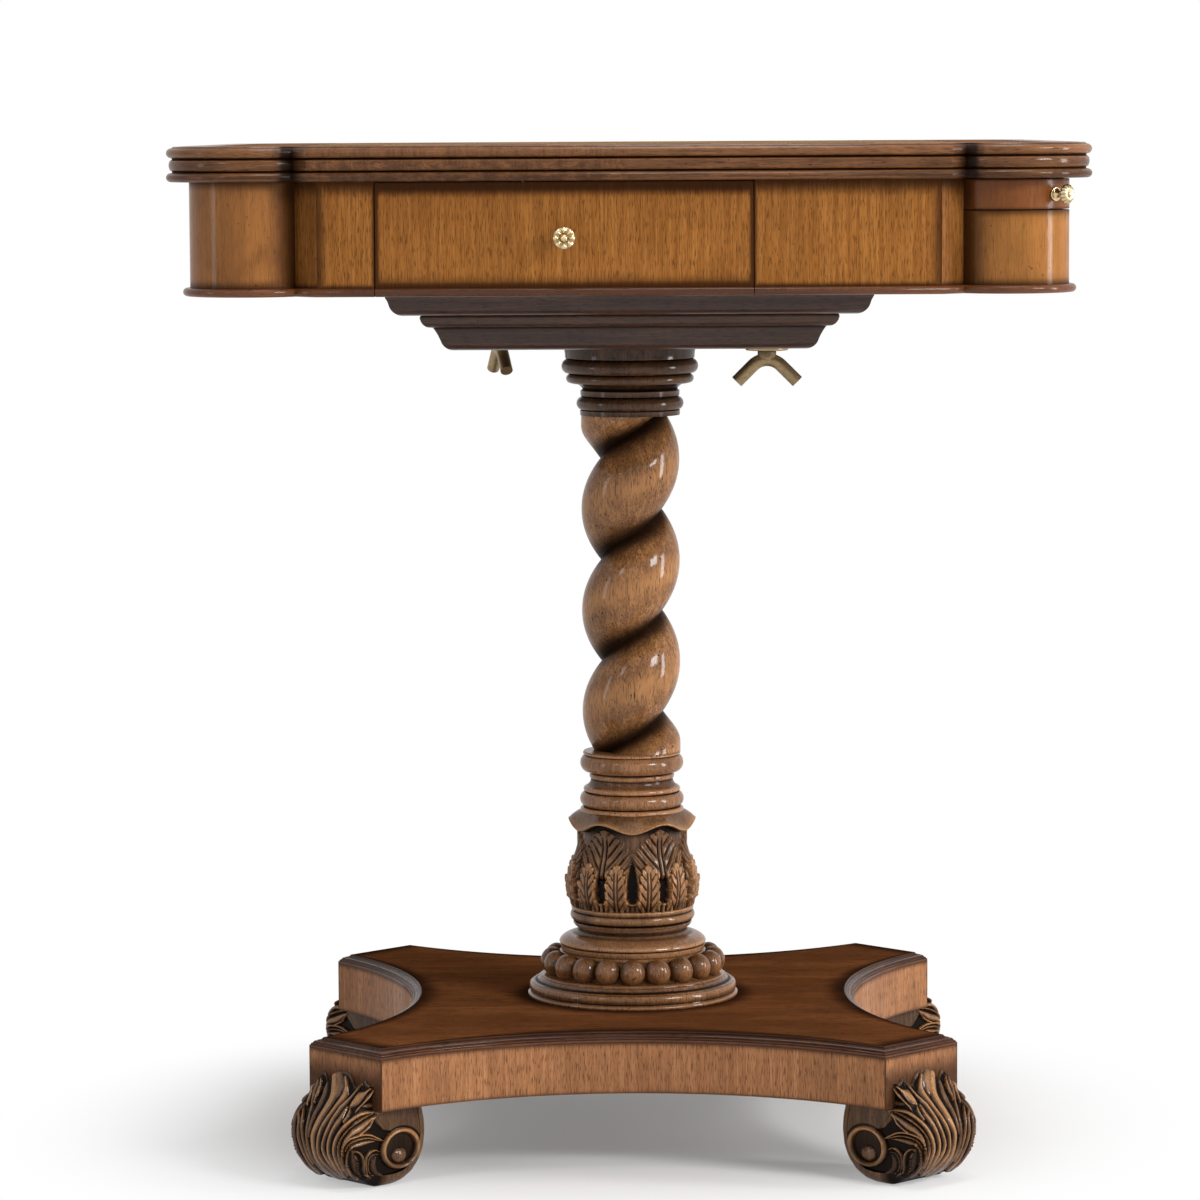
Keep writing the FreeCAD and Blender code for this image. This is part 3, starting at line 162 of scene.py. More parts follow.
class Shape:
    """One mesh while it is put together: points in millimetres, faces, grain places and relief.

    Points closer than same_place millimetres become one.
    """

    same_place = 0.002

    def __init__(self) -> None:
        """Start with nothing."""
        self.points: list[np.ndarray] = []
        self.grain: list[np.ndarray] = []
        self.relief: list[np.ndarray] = []
        self.faces: list[list[int]] = []
        self.count = 0

    def _add(self, points: np.ndarray, grain: Optional[np.ndarray],
             relief: Optional[np.ndarray]) -> int:
        """Add points with their grain places and relief, and return the first one's index."""
        flat = points.reshape(-1, 3)
        first = self.count
        self.points.append(flat)
        self.grain.append(flat if grain is None else grain.reshape(-1, 3))
        self.relief.append(np.full(len(flat), 0.5) if relief is None else relief.reshape(-1))
        self.count += len(flat)
        return first

    def grid(self, points: np.ndarray, grain: Optional[np.ndarray] = None,
             relief: Optional[np.ndarray] = None, wrap: bool = False) -> "Shape":
        """Add a net of quads.

        Args:
            points: rows x columns x 3.
            grain: where each point lies in the timber, the grain running along its third number.
            relief: 0 in a hollow and where shade is painted, 1 on a crest.
            wrap: join the last column to the first.
        Returns:
            This shape.
        """
        rows, columns = points.shape[:2]
        first = self._add(points, grain, relief)
        index = first + np.arange(rows * columns).reshape(rows, columns)
        right = np.roll(index, -1, 1)
        if not wrap:
            index, right = index[:, :-1], right[:, :-1]
        quads = np.stack([index[:-1], right[:-1], right[1:], index[1:]], -1)
        self.faces += quads.reshape(-1, 4).tolist()
        return self

    def cap(self, ring: np.ndarray, grain: Optional[np.ndarray] = None, tone: float = 0.5) -> "Shape":
        """Close a ring of points with one face of an even relief."""
        first = self._add(ring, grain, np.full(len(ring), tone))
        self.faces.append(list(range(first, first + len(ring))))
        return self

    def prism(self, plan: np.ndarray, foot: float, top: float) -> "Shape":
        """Stand a closed plan up between two levels."""
        low, high = at_level(plan, foot), at_level(plan, top)
        return self.grid(np.stack([low, high]), wrap=True).cap(low).cap(high)

    def moulding(self, profile: Sequence[Corner], ring: Callable[[float], np.ndarray],
                 reach: float = 3.0, closed: bool = True, pieces: int = 8) -> "Shape":
        """Run a profile around a plan.

        Args:
            profile: (offset, level) corners with optional bulges, outside to the right of the way.
            ring: gives the plan at an offset, always with as many points.
            reach: length over which hollows and crests are told apart.
            closed: whether the plan closes on itself; an open run gets end faces.
            pieces: chords to an arc of the profile.
        Returns:
            This shape.
        """
        outline = bent(profile, pieces)
        net = np.stack([at_level(ring(out), level) for out, level in outline])
        run = lengths(net[len(net) // 2])
        across = lengths(outline)
        rows, columns = net.shape[:2]
        grain = np.stack([np.repeat(across[:, None], columns, 1), np.zeros((rows, columns)),
                          np.repeat(run[None, :], rows, 0)], -1)
        relief = np.repeat(hollows(outline, reach)[:, None], columns, 1)
        self.grid(net, grain, relief, wrap=closed)
        if not closed:
            self.cap(net[:, 0]).cap(net[:, -1])
        return self

    def lathe(self, profile: Sequence[Corner], around: int = 128, reach: float = 2.6,
              pieces: int = 8) -> "Shape":
        """Turn a profile about the table's axis, its grain upright.

        Args:
            profile: (radius, level) corners with optional bulges.
            around: columns of the net.
            reach: length over which hollows and crests are told apart.
            pieces: chords to an arc of the profile.
        Returns:
            This shape.
        """
        outline = bent(profile, pieces)
        net = polar(outline[:, :1], even_turns(around), outline[:, 1:])
        return self.grid(net, relief=np.repeat(hollows(outline, reach)[:, None], around, 1), wrap=True)

    def merge(self, other: "Shape") -> "Shape":
        """Add everything of another shape."""
        self.faces += [[index + self.count for index in face] for face in other.faces]
        self.points += other.points
        self.grain += other.grain
        self.relief += other.relief
        self.count += other.count
        return self

    def moved(self, matrix: Matrix) -> "Shape":
        """Move everything added so far by a matrix in millimetres."""
        table = np.array(matrix)
        self.points = [p @ table[:3, :3].T + table[:3, 3] for p in self.points]
        return self

    def build(self, name: str, finish: "Finish", body: str, slot: str, *nodes: str,
              soften: float = 0.0, crease: float = 32.0) -> None:
        """Make the mesh, dress it and set it in the frame.

        Args:
            name: the piece's name.
            finish: what it is finished with.
            body: the frame body that it rides on.
            slot: the record's material slot; not used.
            nodes: the frame nodes that it stands for.
            soften: width of the rounding on sharp edges, in millimetres.
            crease: angle in degrees above which an edge stays sharp.
        """
        mesh = bpy.data.meshes.new(name)
        places = np.concatenate(self.points)
        mesh.from_pydata((places * MM).tolist(), [], self.faces)
        grain = mesh.attributes.new("grain", "FLOAT_VECTOR", "POINT")
        plank = zlib.crc32(name.encode()) % 89 * 0.7
        grain.data.foreach_set("vector", (np.concatenate(self.grain) * MM + plank).astype(np.float32).ravel())
        relief = mesh.attributes.new("relief", "FLOAT", "POINT")
        relief.data.foreach_set("value", self._lowest_relief(places))
        work = bmesh.new()
        work.from_mesh(mesh)
        bmesh.ops.remove_doubles(work, verts=work.verts, dist=self.same_place * MM)
        bmesh.ops.recalc_face_normals(work, faces=work.faces)
        if soften:
            sharp = math.radians(crease)
            hard = [edge for edge in work.edges if edge.is_manifold and edge.calc_face_angle(0) > sharp]
            bmesh.ops.bevel(work, geom=hard, offset=soften * MM, segments=2, profile=0.7, affect="EDGES",
                            clamp_overlap=True)
        work.to_mesh(mesh)
        work.free()
        mesh.shade_smooth()
        mesh.set_sharp_from_angle(angle=math.radians(crease))
        piece = placed(name, mesh)
        mesh.materials.append(finish.material())
        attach(piece, body)
        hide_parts(*nodes)
        LOG.info("%s: %d faces", name, len(mesh.polygons))

    def _lowest_relief(self, places: np.ndarray) -> np.ndarray:
        """Return each point's relief, points that share a place taking the lowest of theirs."""
        _, shared = np.unique(places.round(3), axis=0, return_inverse=True)
        shared = shared.ravel()
        lowest = np.full(shared.max() + 1, 2.0)
        np.minimum.at(lowest, shared, np.concatenate(self.relief))
        return lowest[shared].astype(np.float32)


# ---------------------------------------------------------------- shader nodes

Number = Union["Wire", float]
Value = Union["Wire", float, Sequence[float]]


class Wire:
    """A shader socket whose arithmetic adds Math nodes."""

    def __init__(self, paint: "Paint", socket: bpy.types.NodeSocket) -> None:
        """Wrap one output socket of a paint's tree."""
        self.paint = paint
        self.socket = socket

    def _math(self, operation: str, one: Number, two: Number = 0.0, clamp: bool = False) -> "Wire":
        """Add one Math node and return its result."""
        settings = {"operation": operation, "use_clamp": clamp}
        return self.paint.node("ShaderNodeMath", settings, {0: one, 1: two})

    def __add__(self, other: Number) -> "Wire":
        """Return the sum."""
        return self._math("ADD", self, other)

    def __radd__(self, other: Number) -> "Wire":
        """Return the sum, the wire on the right."""
        return self._math("ADD", other, self)

    def __sub__(self, other: Number) -> "Wire":
        """Return the difference."""
        return self._math("SUBTRACT", self, other)

    def __rsub__(self, other: Number) -> "Wire":
        """Return the difference, the wire on the right."""
        return self._math("SUBTRACT", other, self)

    def __mul__(self, other: Number) -> "Wire":
        """Return the product."""
        return self._math("MULTIPLY", self, other)

    def __rmul__(self, other: Number) -> "Wire":
        """Return the product, the wire on the right."""
        return self._math("MULTIPLY", other, self)

    def least(self, other: Number) -> "Wire":
        """Return the smaller of the two."""
        return self._math("MINIMUM", self, other)

    def size(self) -> "Wire":
        """Return the value without its sign."""
        return self._math("ABSOLUTE", self)

    def clipped(self) -> "Wire":
        """Return the value held between 0 and 1."""
        return self._math("ADD", self, 0.0, clamp=True)


class Paint:
    """The nodes of one material or world while they are laid."""

    def __init__(self, owner: Union[bpy.types.Material, bpy.types.World], kind: str = "Material") -> None:
        """Empty the owner's node tree and give it an output."""
        owner.use_nodes = True
        self.owner = owner
        self.tree = owner.node_tree
        self.tree.nodes.clear()
        self.output = self.tree.nodes.new("ShaderNodeOutput" + kind)

    def node(self, kind: str, settings: Optional[dict] = None, inputs: Optional[dict] = None,
             outlet: Union[int, str] = 0) -> Wire:
        """Add a node.

        Args:
            kind: the node's type.
            settings: its attributes, set first.
            inputs: the values or wires of its sockets.
            outlet: which of its outputs to return.
        Returns:
            A wire from that output.
        """
        made = self.tree.nodes.new(kind)
        for key, value in (settings or {}).items():
            setattr(made, key, value)
        for key, value in (inputs or {}).items():
            socket = made.inputs[key]
            if isinstance(value, Wire):
                self.tree.links.new(value.socket, socket)
            elif socket.type == "RGBA" and len(value) == 3:
                socket.default_value = (*value, 1.0)
            else:
                socket.default_value = value
        return Wire(self, made.outputs[outlet])

    def attribute(self, name: str, outlet: str = "Fac") -> Wire:
        """Read a mesh attribute."""
        return self.node("ShaderNodeAttribute", {"attribute_name": name}, outlet=outlet)

    def noise(self, place: Wire, across: float, along: float, detail: float = 2.0, bend: float = 0.0) -> Wire:
        """Noise drawn out along the grain.

        Args:
            place: where in the timber, in metres.
            across: waves to a metre across the grain.
            along: waves to a metre along it.
            detail: octaves on top of the first.
            bend: distortion.
        Returns:
            A value around 0.5.
        """
        waves = (across, across, along)
        drawn = self.node("ShaderNodeVectorMath", {"operation": "MULTIPLY"}, {0: place, 1: waves})
        inputs = {"Vector": drawn, "Scale": 1.0, "Detail": detail, "Distortion": bend}
        return self.node("ShaderNodeTexNoise", {}, inputs)

    def rise(self, value: Wire, low: float, high: float) -> Wire:
        """Return 0 below low, 1 above high and an even rise between."""
        return self.node("ShaderNodeMapRange", {"interpolation_type": "SMOOTHSTEP"},
                         {"Value": value, "From Min": low, "From Max": high})

    def mix(self, factor: Number, one: Value, two: Value) -> Wire:
        """Blend two colours."""
        return self.node("ShaderNodeMix", {"data_type": "RGBA"}, {0: factor, 6: one, 7: two}, outlet=2)

    def bump(self, height: Wire, strength: float, distance: float) -> Wire:
        """Return the normal that a height gives."""
        inputs = {"Strength": strength, "Distance": distance, "Height": height}
        return self.node("ShaderNodeBump", {}, inputs, outlet="Normal")

    def surface(self, shader: Wire) -> None:
        """Link a shader to the output."""
        self.tree.links.new(shader.socket, self.output.inputs["Surface"])

    def shine(self, inputs: dict) -> bpy.types.Material:
        """Finish with a Principled shader and return the material."""
        self.surface(self.node("ShaderNodeBsdfPrincipled", {}, inputs))
        return self.owner


# ---------------------------------------------------------------- finishes

class Grain(Enum):
    """Which way the timber's grain runs in a frame node."""

    UPRIGHT = (0, 1, 2)
    ACROSS = (1, 2, 0)
    DEEP = (0, 2, 1)


MADE: dict[str, bpy.types.Material] = {}


@dataclass(frozen=True)
class Finish:
    """What a piece is finished with."""

    name: str

    def material(self) -> bpy.types.Material:
        """Return the material for pieces that carry grain and relief, made on first use."""
        if self.name not in MADE:
            paint = Paint(bpy.data.materials.new(self.name))
            MADE[self.name] = self.lay(paint, paint.attribute("grain", "Vector"), paint.attribute("relief"))
        return MADE[self.name]

    def paint_for(self, node: str) -> tuple[Paint, Wire]:
        """Start a frame node's own material and return it with the places on the node."""
        paint = Paint(bpy.data.materials.new("%s_%s" % (self.name, node)))
        return paint, paint.node("ShaderNodeTexCoord", outlet="Object")

    def dress(self, node: str, paint: Paint, place: Wire, relief: Wire) -> None:
        """Lay the finish on a frame node."""
        material = self.lay(paint, place, relief)
        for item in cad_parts[node].material_slots:
            item.material = material

    def lay(self, paint: Paint, place: Wire, relief: Wire) -> bpy.types.Material:
        """Lay the nodes.

        Args:
            paint: the material being made.
            place: where in the piece, its grain along the third number.
            relief: 0 in hollows and where shade is painted, 0.5 on the flat, 1 on crests.
        Returns:
            The material.
        """
        raise NotImplementedError


@dataclass(frozen=True)
class Figure:
    """Noise drawn out along the grain and cut off between two levels."""

    across: float
    along: float
    detail: float
    low: float
    high: float
    bend: float = 0.0

    def lay(self, paint: Paint, place: Wire) -> Wire:
        """Return 0 where the figure is absent and 1 where it is full."""
        noise = paint.noise(place, self.across, self.along, self.detail, self.bend)
        return paint.rise(noise, self.low, self.high)


CLOUDS = Figure(26.0, 9.0, 1.0, 0.3, 0.7)
STREAKS = Figure(230.0, 11.0, 3.0, 0.36, 0.64, 0.4)
FINE_STREAKS = Figure(760.0, 30.0, 2.0, 0.40, 0.64)
PORES = Figure(1400.0, 120.0, 1.0, 0.54, 0.64)
SLASHES = Figure(760.0, 62.0, 1.0, 0.69, 0.74)
SPOTS = Figure(300.0, 210.0, 1.0, 0.73, 0.78)
SMOKE = Figure(42.0, 30.0, 2.0, 0.50, 0.75)


@dataclass(frozen=True)
class Wood(Finish):
    """Stained, glazed and lacquered timber.

    ground is the usual colour, light shows between the streaks and on worn crests, and dark fills
    pores, and, as glazing with painted shade, hollows and edges. The shares say how strongly each shows.
    """

    ground: Colour
    light: Colour
    dark: Colour
    streaks: float = 0.6
    clouds: float = 0.5
    pores: float = 0.55
    glaze: float = 0.85
    wear: float = 0.6
    specks: float = 0.6
    roughness: float = 0.4
    coat: float = 0.3
    gloss: float = 0.06
    polish: float = 0.12
    smoke: float = 0.4

    def like(self, name: str, ground: Colour, light: Colour, dark: Colour, **shares: float) -> "Wood":
        """Return this finish under another name, in other colours and with some shares changed."""
        return replace(self, name=name, ground=ground, light=light, dark=dark, **shares)

    def on_node(self, node: str, grain: Grain, edges: Sequence[tuple[int, float, float]] = ()) -> None:
        """Dress a frame node, darkened beside the given planes with glazing and painted shade.

        Args:
            node: the frame node.
            grain: which way its grain runs.
            edges: (axis, place, width) in millimetres of each plane and the band of glazing and painted shade
                beside it.
        """
        paint, where = self.paint_for(node)
        parts = [paint.node("ShaderNodeSeparateXYZ", {}, {0: where}, outlet=axis) for axis in range(3)]
        across, deep, along = (parts[axis] for axis in grain.value)
        place = paint.node("ShaderNodeCombineXYZ", {}, {0: across, 1: deep, 2: along})
        relief = parts[0] * 0.0 + 0.5
        for axis, level, width in edges:
            distance = (parts[axis] - level * MM).size()
            relief = relief.least(paint.rise(distance, -0.3 * width * MM, width * MM) * 0.5)
        self.dress(node, paint, place, relief)

    def lay(self, paint: Paint, place: Wire, relief: Wire) -> bpy.types.Material:
        """Lay the timber's nodes and return the material."""
        clouds, figure, fine, pores, slashes, spots = (
            kind.lay(paint, place) for kind in (CLOUDS, STREAKS, FINE_STREAKS, PORES, SLASHES, SPOTS))
        patches = paint.noise(place, 60.0, 45.0, 2.0)
        smoke = SMOKE.lay(paint, place)
        colour = paint.mix(figure * self.streaks, self.ground, self.light)
        shade = tuple(0.55 * one + 0.45 * two for one, two in zip(self.ground, self.dark))
        colour = paint.mix(clouds * self.clouds, colour, shade)
        colour = paint.mix(fine * (0.75 * self.streaks), colour, shade)
        colour = paint.mix(smoke * self.smoke, colour, shade)
        crest = paint.rise(relief + (patches - 0.5) * 0.35, 0.55, 0.95)
        bright = tuple(min(1.0, 1.15 * part) for part in self.light)
        colour = paint.mix(crest * self.wear, colour, bright)
        colour = paint.mix(pores * self.pores, colour, self.dark)
        # dark glazing in hollows and along edges, with painted shade wherever the relief was lowered for it
        hollow = 1.0 - paint.rise(relief + (patches - 0.5) * 0.10, 0.04, 0.5)
        colour = paint.mix(hollow * self.glaze, colour, self.dark)
        pit = tuple(0.35 * part for part in self.dark)
        colour = paint.mix((slashes * 0.8 + spots).clipped() * self.specks, colour, pit)
        height = (pores * -0.4 + fine * 0.15 + spots * -1.0 + slashes * -0.6) * 0.5
        bump = paint.bump(height, 0.25, 0.00025)
        rough = self.roughness + hollow * 0.10 + patches * 0.08 + pores * 0.08
        return paint.shine({"Base Color": colour, "Roughness": rough, "Normal": bump,
                            "Specular IOR Level": self.gloss, "Coat Roughness": self.polish,
                            "Coat Weight": self.coat * (1.0 - hollow * 0.8)})


@dataclass(frozen=True)
class Metal(Finish):
    """Cast or turned metal with its patina in the hollows."""

    bright: Colour
    tarnish: Colour
    roughness: float = 0.28
    patina: float = 0.7

    def on_node(self, node: str) -> None:
        """Dress a frame node."""
        paint, where = self.paint_for(node)
        self.dress(node, paint, where, paint.noise(where, 90.0, 90.0) * 0.4 + 0.35)

    def lay(self, paint: Paint, place: Wire, relief: Wire) -> bpy.types.Material:
        """Lay the metal's nodes and return the material."""
        grime = paint.noise(place, 420.0, 420.0, 3.0)
        hollow = (1.0 - paint.rise(relief + (grime - 0.5) * 0.4, 0.1, 0.6)) * self.patina
        colour = paint.mix(hollow, self.bright, self.tarnish)
        scratches = paint.noise(place, 2600.0, 160.0, 2.0)
        bump = paint.bump(scratches + grime * 0.6, 0.15, 0.0001)
        return paint.shine({"Base Color": colour, "Metallic": 1.0 - hollow * 0.5, "Normal": bump,
                            "Roughness": self.roughness + hollow * 0.3 + scratches * 0.08})


VENEER = Wood("case_veneer_finish", (0.325, 0.119, 0.022), (0.455, 0.186, 0.043), (0.040, 0.012, 0.003),
              streaks=0.7, clouds=0.30, glaze=0.92, specks=0.35, coat=0.08, smoke=0.25)
# a darker copy of the veneer for the cant boards: painted shade
CANT = VENEER.like("shaded_cant_finish", (0.21, 0.076, 0.015), (0.32, 0.125, 0.029), (0.030, 0.010, 0.003))
# two copies of one turret veneer: this lighter one is painted light of the key lamp on the front right
# turret, the darker one after it painted shade on the others
LIT_TURRET = Wood("lit_turret_finish", (0.350, 0.136, 0.027), (0.50, 0.205, 0.050), (0.030, 0.010, 0.003),
                   streaks=0.4, pores=0.22, glaze=0.92, roughness=0.34, gloss=0.04)
TURRET = LIT_TURRET.like("turret_finish", (0.300, 0.112, 0.024), (0.43, 0.172, 0.043),
                          (0.030, 0.010, 0.003), specks=0.5, coat=0.35, smoke=0.8)
NOSE = Wood("slide_nose_finish", (0.20, 0.060, 0.011), (0.28, 0.088, 0.018), (0.035, 0.011, 0.004),
            streaks=0.3, pores=0.2, specks=0.4, coat=0.35, polish=0.2)
MOULDING = Wood("moulding_finish", (0.105, 0.040, 0.013), (0.26, 0.108, 0.040), (0.010, 0.004, 0.002),
                streaks=0.7, pores=0.45, specks=0.9, wear=0.75, glaze=0.97, coat=0.35)
BEAD = Wood("bead_finish", (0.078, 0.026, 0.009), (0.165, 0.057, 0.021), (0.014, 0.006, 0.003),
            streaks=0.5, pores=0.3, specks=0.7, coat=0.4)
DARK = Wood("dark_walnut_finish", (0.044, 0.019, 0.012), (0.085, 0.037, 0.021), (0.005, 0.003, 0.002),
            pores=0.5, specks=0.9, wear=0.3, coat=0.45, gloss=0.15)
COLUMN = Wood("column_finish", (0.135, 0.058, 0.022), (0.30, 0.135, 0.054), (0.008, 0.004, 0.003),
              streaks=0.7, pores=0.5, specks=0.9, wear=0.85, glaze=0.97, coat=0.55, gloss=0.02)
# a darker copy of the column's finish for the capital: painted shade under the pedestal head
CAPITAL = COLUMN.like("shaded_capital_finish", (0.042, 0.019, 0.010), (0.110, 0.052, 0.024),
                      (0.006, 0.003, 0.002), coat=0.45)
NECK = COLUMN.like("neck_finish", (0.27, 0.122, 0.052), (0.38, 0.19, 0.090), (0.010, 0.005, 0.003),
                   glaze=0.9, coat=0.6)
COLLAR = COLUMN.like("collar_finish", (0.22, 0.098, 0.041), (0.38, 0.18, 0.078), (0.009, 0.004, 0.003),
                     wear=0.8)
ROPE = COLUMN.like("rope_finish", (0.26, 0.112, 0.040), (0.46, 0.215, 0.080), (0.010, 0.004, 0.002),
                   streaks=0.8, specks=1.0, wear=0.6, coat=0.5, polish=0.11, gloss=0.03, smoke=0.5)
CARVING = COLUMN.like("carving_finish", (0.120, 0.054, 0.023), (0.36, 0.178, 0.075), (0.004, 0.002, 0.002),
                      streaks=0.4, pores=0.4, specks=0.5, wear=0.95, glaze=0.98, gloss=0.01)
FOOT = CARVING.like("foot_finish", (0.105, 0.047, 0.020), (0.34, 0.165, 0.062), (0.005, 0.003, 0.002),
                    coat=0.6)
PLINTH_TOP = Wood("plinth_top_finish", (0.205, 0.072, 0.024), (0.31, 0.118, 0.042), (0.014, 0.006, 0.004),
                  clouds=0.7, pores=0.4, specks=0.7, roughness=0.5, coat=0.0, gloss=0.0)
PLINTH_EDGE = Wood("plinth_edge_finish", (0.060, 0.021, 0.009), (0.15, 0.058, 0.026), (0.008, 0.003, 0.002),
                   streaks=0.5, pores=0.4, specks=0.7, wear=0.8, glaze=0.95, coat=0.35, polish=0.10,
                   gloss=0.02)
PLINTH_FACE = Wood("plinth_face_finish", (0.38, 0.160, 0.064), (0.54, 0.255, 0.115), (0.040, 0.016, 0.008),
                   streaks=0.7, clouds=0.45, pores=0.6, glaze=0.92, specks=0.5, coat=0.15)
PLAIN = Wood("drawer_wood_finish", (0.46, 0.30, 0.16), (0.58, 0.42, 0.25), (0.20, 0.11, 0.05),
             streaks=0.5, pores=0.4, specks=0.1, glaze=0.3, roughness=0.6, coat=0.0, gloss=0.2)
RAW = PLAIN.like("inner_wood_finish", (0.20, 0.11, 0.055), (0.30, 0.18, 0.095), (0.06, 0.03, 0.016),
                 streaks=0.6, pores=0.5, specks=0.2, roughness=0.65)
BORDER = Wood("border_finish", (0.22, 0.085, 0.024), (0.32, 0.135, 0.045), (0.035, 0.012, 0.005),
              specks=0.5, coat=0.1, polish=0.3, gloss=0.0)
STRING = BORDER.like("stringing_finish", (0.030, 0.014, 0.008), (0.05, 0.025, 0.015), (0.010, 0.005, 0.004),
                     streaks=0.3, pores=0.2, specks=0.2)
LIGHT_SQUARE = BORDER.like("light_square_finish", (0.45, 0.25, 0.095), (0.58, 0.36, 0.16),
                           (0.18, 0.08, 0.025), pores=0.4, specks=0.3)
DARK_SQUARE = LIGHT_SQUARE.like("dark_square_finish", (0.065, 0.025, 0.011), (0.11, 0.045, 0.021),
                                (0.012, 0.006, 0.004))
BRASS = Metal("polished_brass_finish", (0.66, 0.51, 0.29), (0.10, 0.06, 0.03), roughness=0.22)
ANTIQUE = Metal("antique_brass_finish", (0.37, 0.265, 0.14), (0.05, 0.03, 0.018), roughness=0.3)
STEEL = Metal("steel_finish", (0.62, 0.62, 0.62), (0.12, 0.11, 0.10), roughness=0.35)


# ---------------------------------------------------------------- plans

@dataclass(frozen=True)
class CasePlan:
    """The canted square with a turret on each corner."""

    half: float = 312.8
    cut: float = 92.8
    setback: float = 42.8
    radius: float = 43.0
    arc_points: int = 44

    def cant(self) -> float:
        """Return how far the cant faces are from the middle."""
        return (2 * self.half - self.cut) / math.sqrt(2)

    def centre(self) -> float:
        """Return how far along the diagonal a turret's centre lies."""
        return (self.half - self.setback) * math.sqrt(2)

    def turret_arc(self, out: float) -> np.ndarray:
        """Return a turret's face moved out, about +X, as (x, y) points."""
        behind = self.centre() - self.cant() - out
        reach = math.acos(-behind / (self.radius + out))
        angles = np.linspace(-reach, reach, self.arc_points)
        return np.stack([self.centre() + (self.radius + out) * np.cos(angles),
                         (self.radius + out) * np.sin(angles)], 1)

    def corner(self, out: float, degrees: float) -> np.ndarray:
        """Return the outline past one corner, moved out, counterclockwise."""
        run = self.half - self.cut + (math.sqrt(2) - 1) * out
        ends = turned(np.array([[self.half + out, run], [run, self.half + out]]), -45)
        return turned(np.vstack([ends[:1], self.turret_arc(out), ends[1:]]), degrees)

    def half_way(self, out: float, start: float, end: float) -> np.ndarray:
        """Return the outline from the front at x = start, round the right side, to the back at x = end."""
        face = self.half + out
        return np.vstack([[[start, -face]], self.corner(out, -45), self.corner(out, 45), [[end, face]]])

    def whole(self, out: float) -> np.ndarray:
        """Return the closed outline moved out."""
        right = self.half_way(out, 0.0, 0.0)[:-1]
        return np.vstack([right, turned(right, 180)])


@dataclass(frozen=True)
class PlinthPlan:
    """The square with cut corners and four hollow sides."""

    short: float = 184.0
    long: float = 240.0
    hollow: float = 68.0
    arc_points: int = 49

    def radius(self) -> float:
        """Return the radius of a hollow side."""
        return (self.short ** 2 + self.hollow ** 2) / (2 * self.hollow)

    def centre(self) -> float:
        """Return how far out a hollow side's centre lies."""
        return self.long + self.radius() - self.hollow

    def cant(self) -> float:
        """Return how far the corner faces are from the middle."""
        return (self.short + self.long) / math.sqrt(2)

    def ends(self, inset: float) -> tuple[float, float]:
        """Return a corner face's two ordinates, moved in."""
        total = self.short + self.long - math.sqrt(2) * inset
        reach = total - self.centre()
        short = (reach + math.sqrt(2 * (self.radius() + inset) ** 2 - reach ** 2)) / 2
        return short, total - short

    def side_at(self, along: np.ndarray, inset: float) -> np.ndarray:
        """Return how far out a side lies at places along it."""
        return self.centre() - np.sqrt((self.radius() + inset) ** 2 - along ** 2)

    def side(self, inset: float, low: float, high: float, points: int) -> np.ndarray:
        """Return a stretch of the front side from x = low to x = high."""
        x = np.linspace(low, high, points)
        return np.stack([x, -self.side_at(x, inset)], 1)

    def whole(self, inset: float) -> np.ndarray:
        """Return the closed outline moved in, counterclockwise."""
        short, _ = self.ends(inset)
        front = self.side(inset, -short, short, self.arc_points)
        return np.vstack([turned(front, quarter) for quarter in QUARTERS])


def square_plan(half: float) -> np.ndarray:
    """Return a square's outline with a few points on each side."""
    run = np.linspace(-half, half, 9)[:-1]
    side = np.stack([run, np.full(len(run), -half)], 1)
    return np.vstack([turned(side, quarter) for quarter in QUARTERS])


def standing(plan: np.ndarray, foot: float, top: float, glaze: float, ends: float = 0.0) -> Shape:
    """Stand a closed plan up as a solid whose faces darken towards their ends with glazing and painted shade.

    Args:
        plan: closed outline.
        foot: lowest level.
        top: highest level.
        glaze: height of the dark band of glazing and painted shade at foot and top.
        ends: length of the band of painted shade at the outline's first and last points.
    Returns:
        The shape, its grain upright.
    """
    levels = foot + (top - foot) * eased(11)
    net = np.stack([at_level(plan, level) for level in levels])
    gap = np.minimum(levels - foot, top - levels)[:, None]
    relief = smoothstep(gap, -0.4 * glaze, glaze) * 0.5 + 0 * net[:, :, 0]
    if ends:
        along = lengths(plan)[None, :]
        from_end = np.minimum(along, along[:, -1:] - along)
        relief = np.minimum(relief, 0.5 * smoothstep(from_end, -0.1 * ends, ends))
    shape = Shape().grid(net, relief=relief, wrap=True)
    return shape.cap(net[0]).cap(net[-1])


# ---------------------------------------------------------------- surroundings

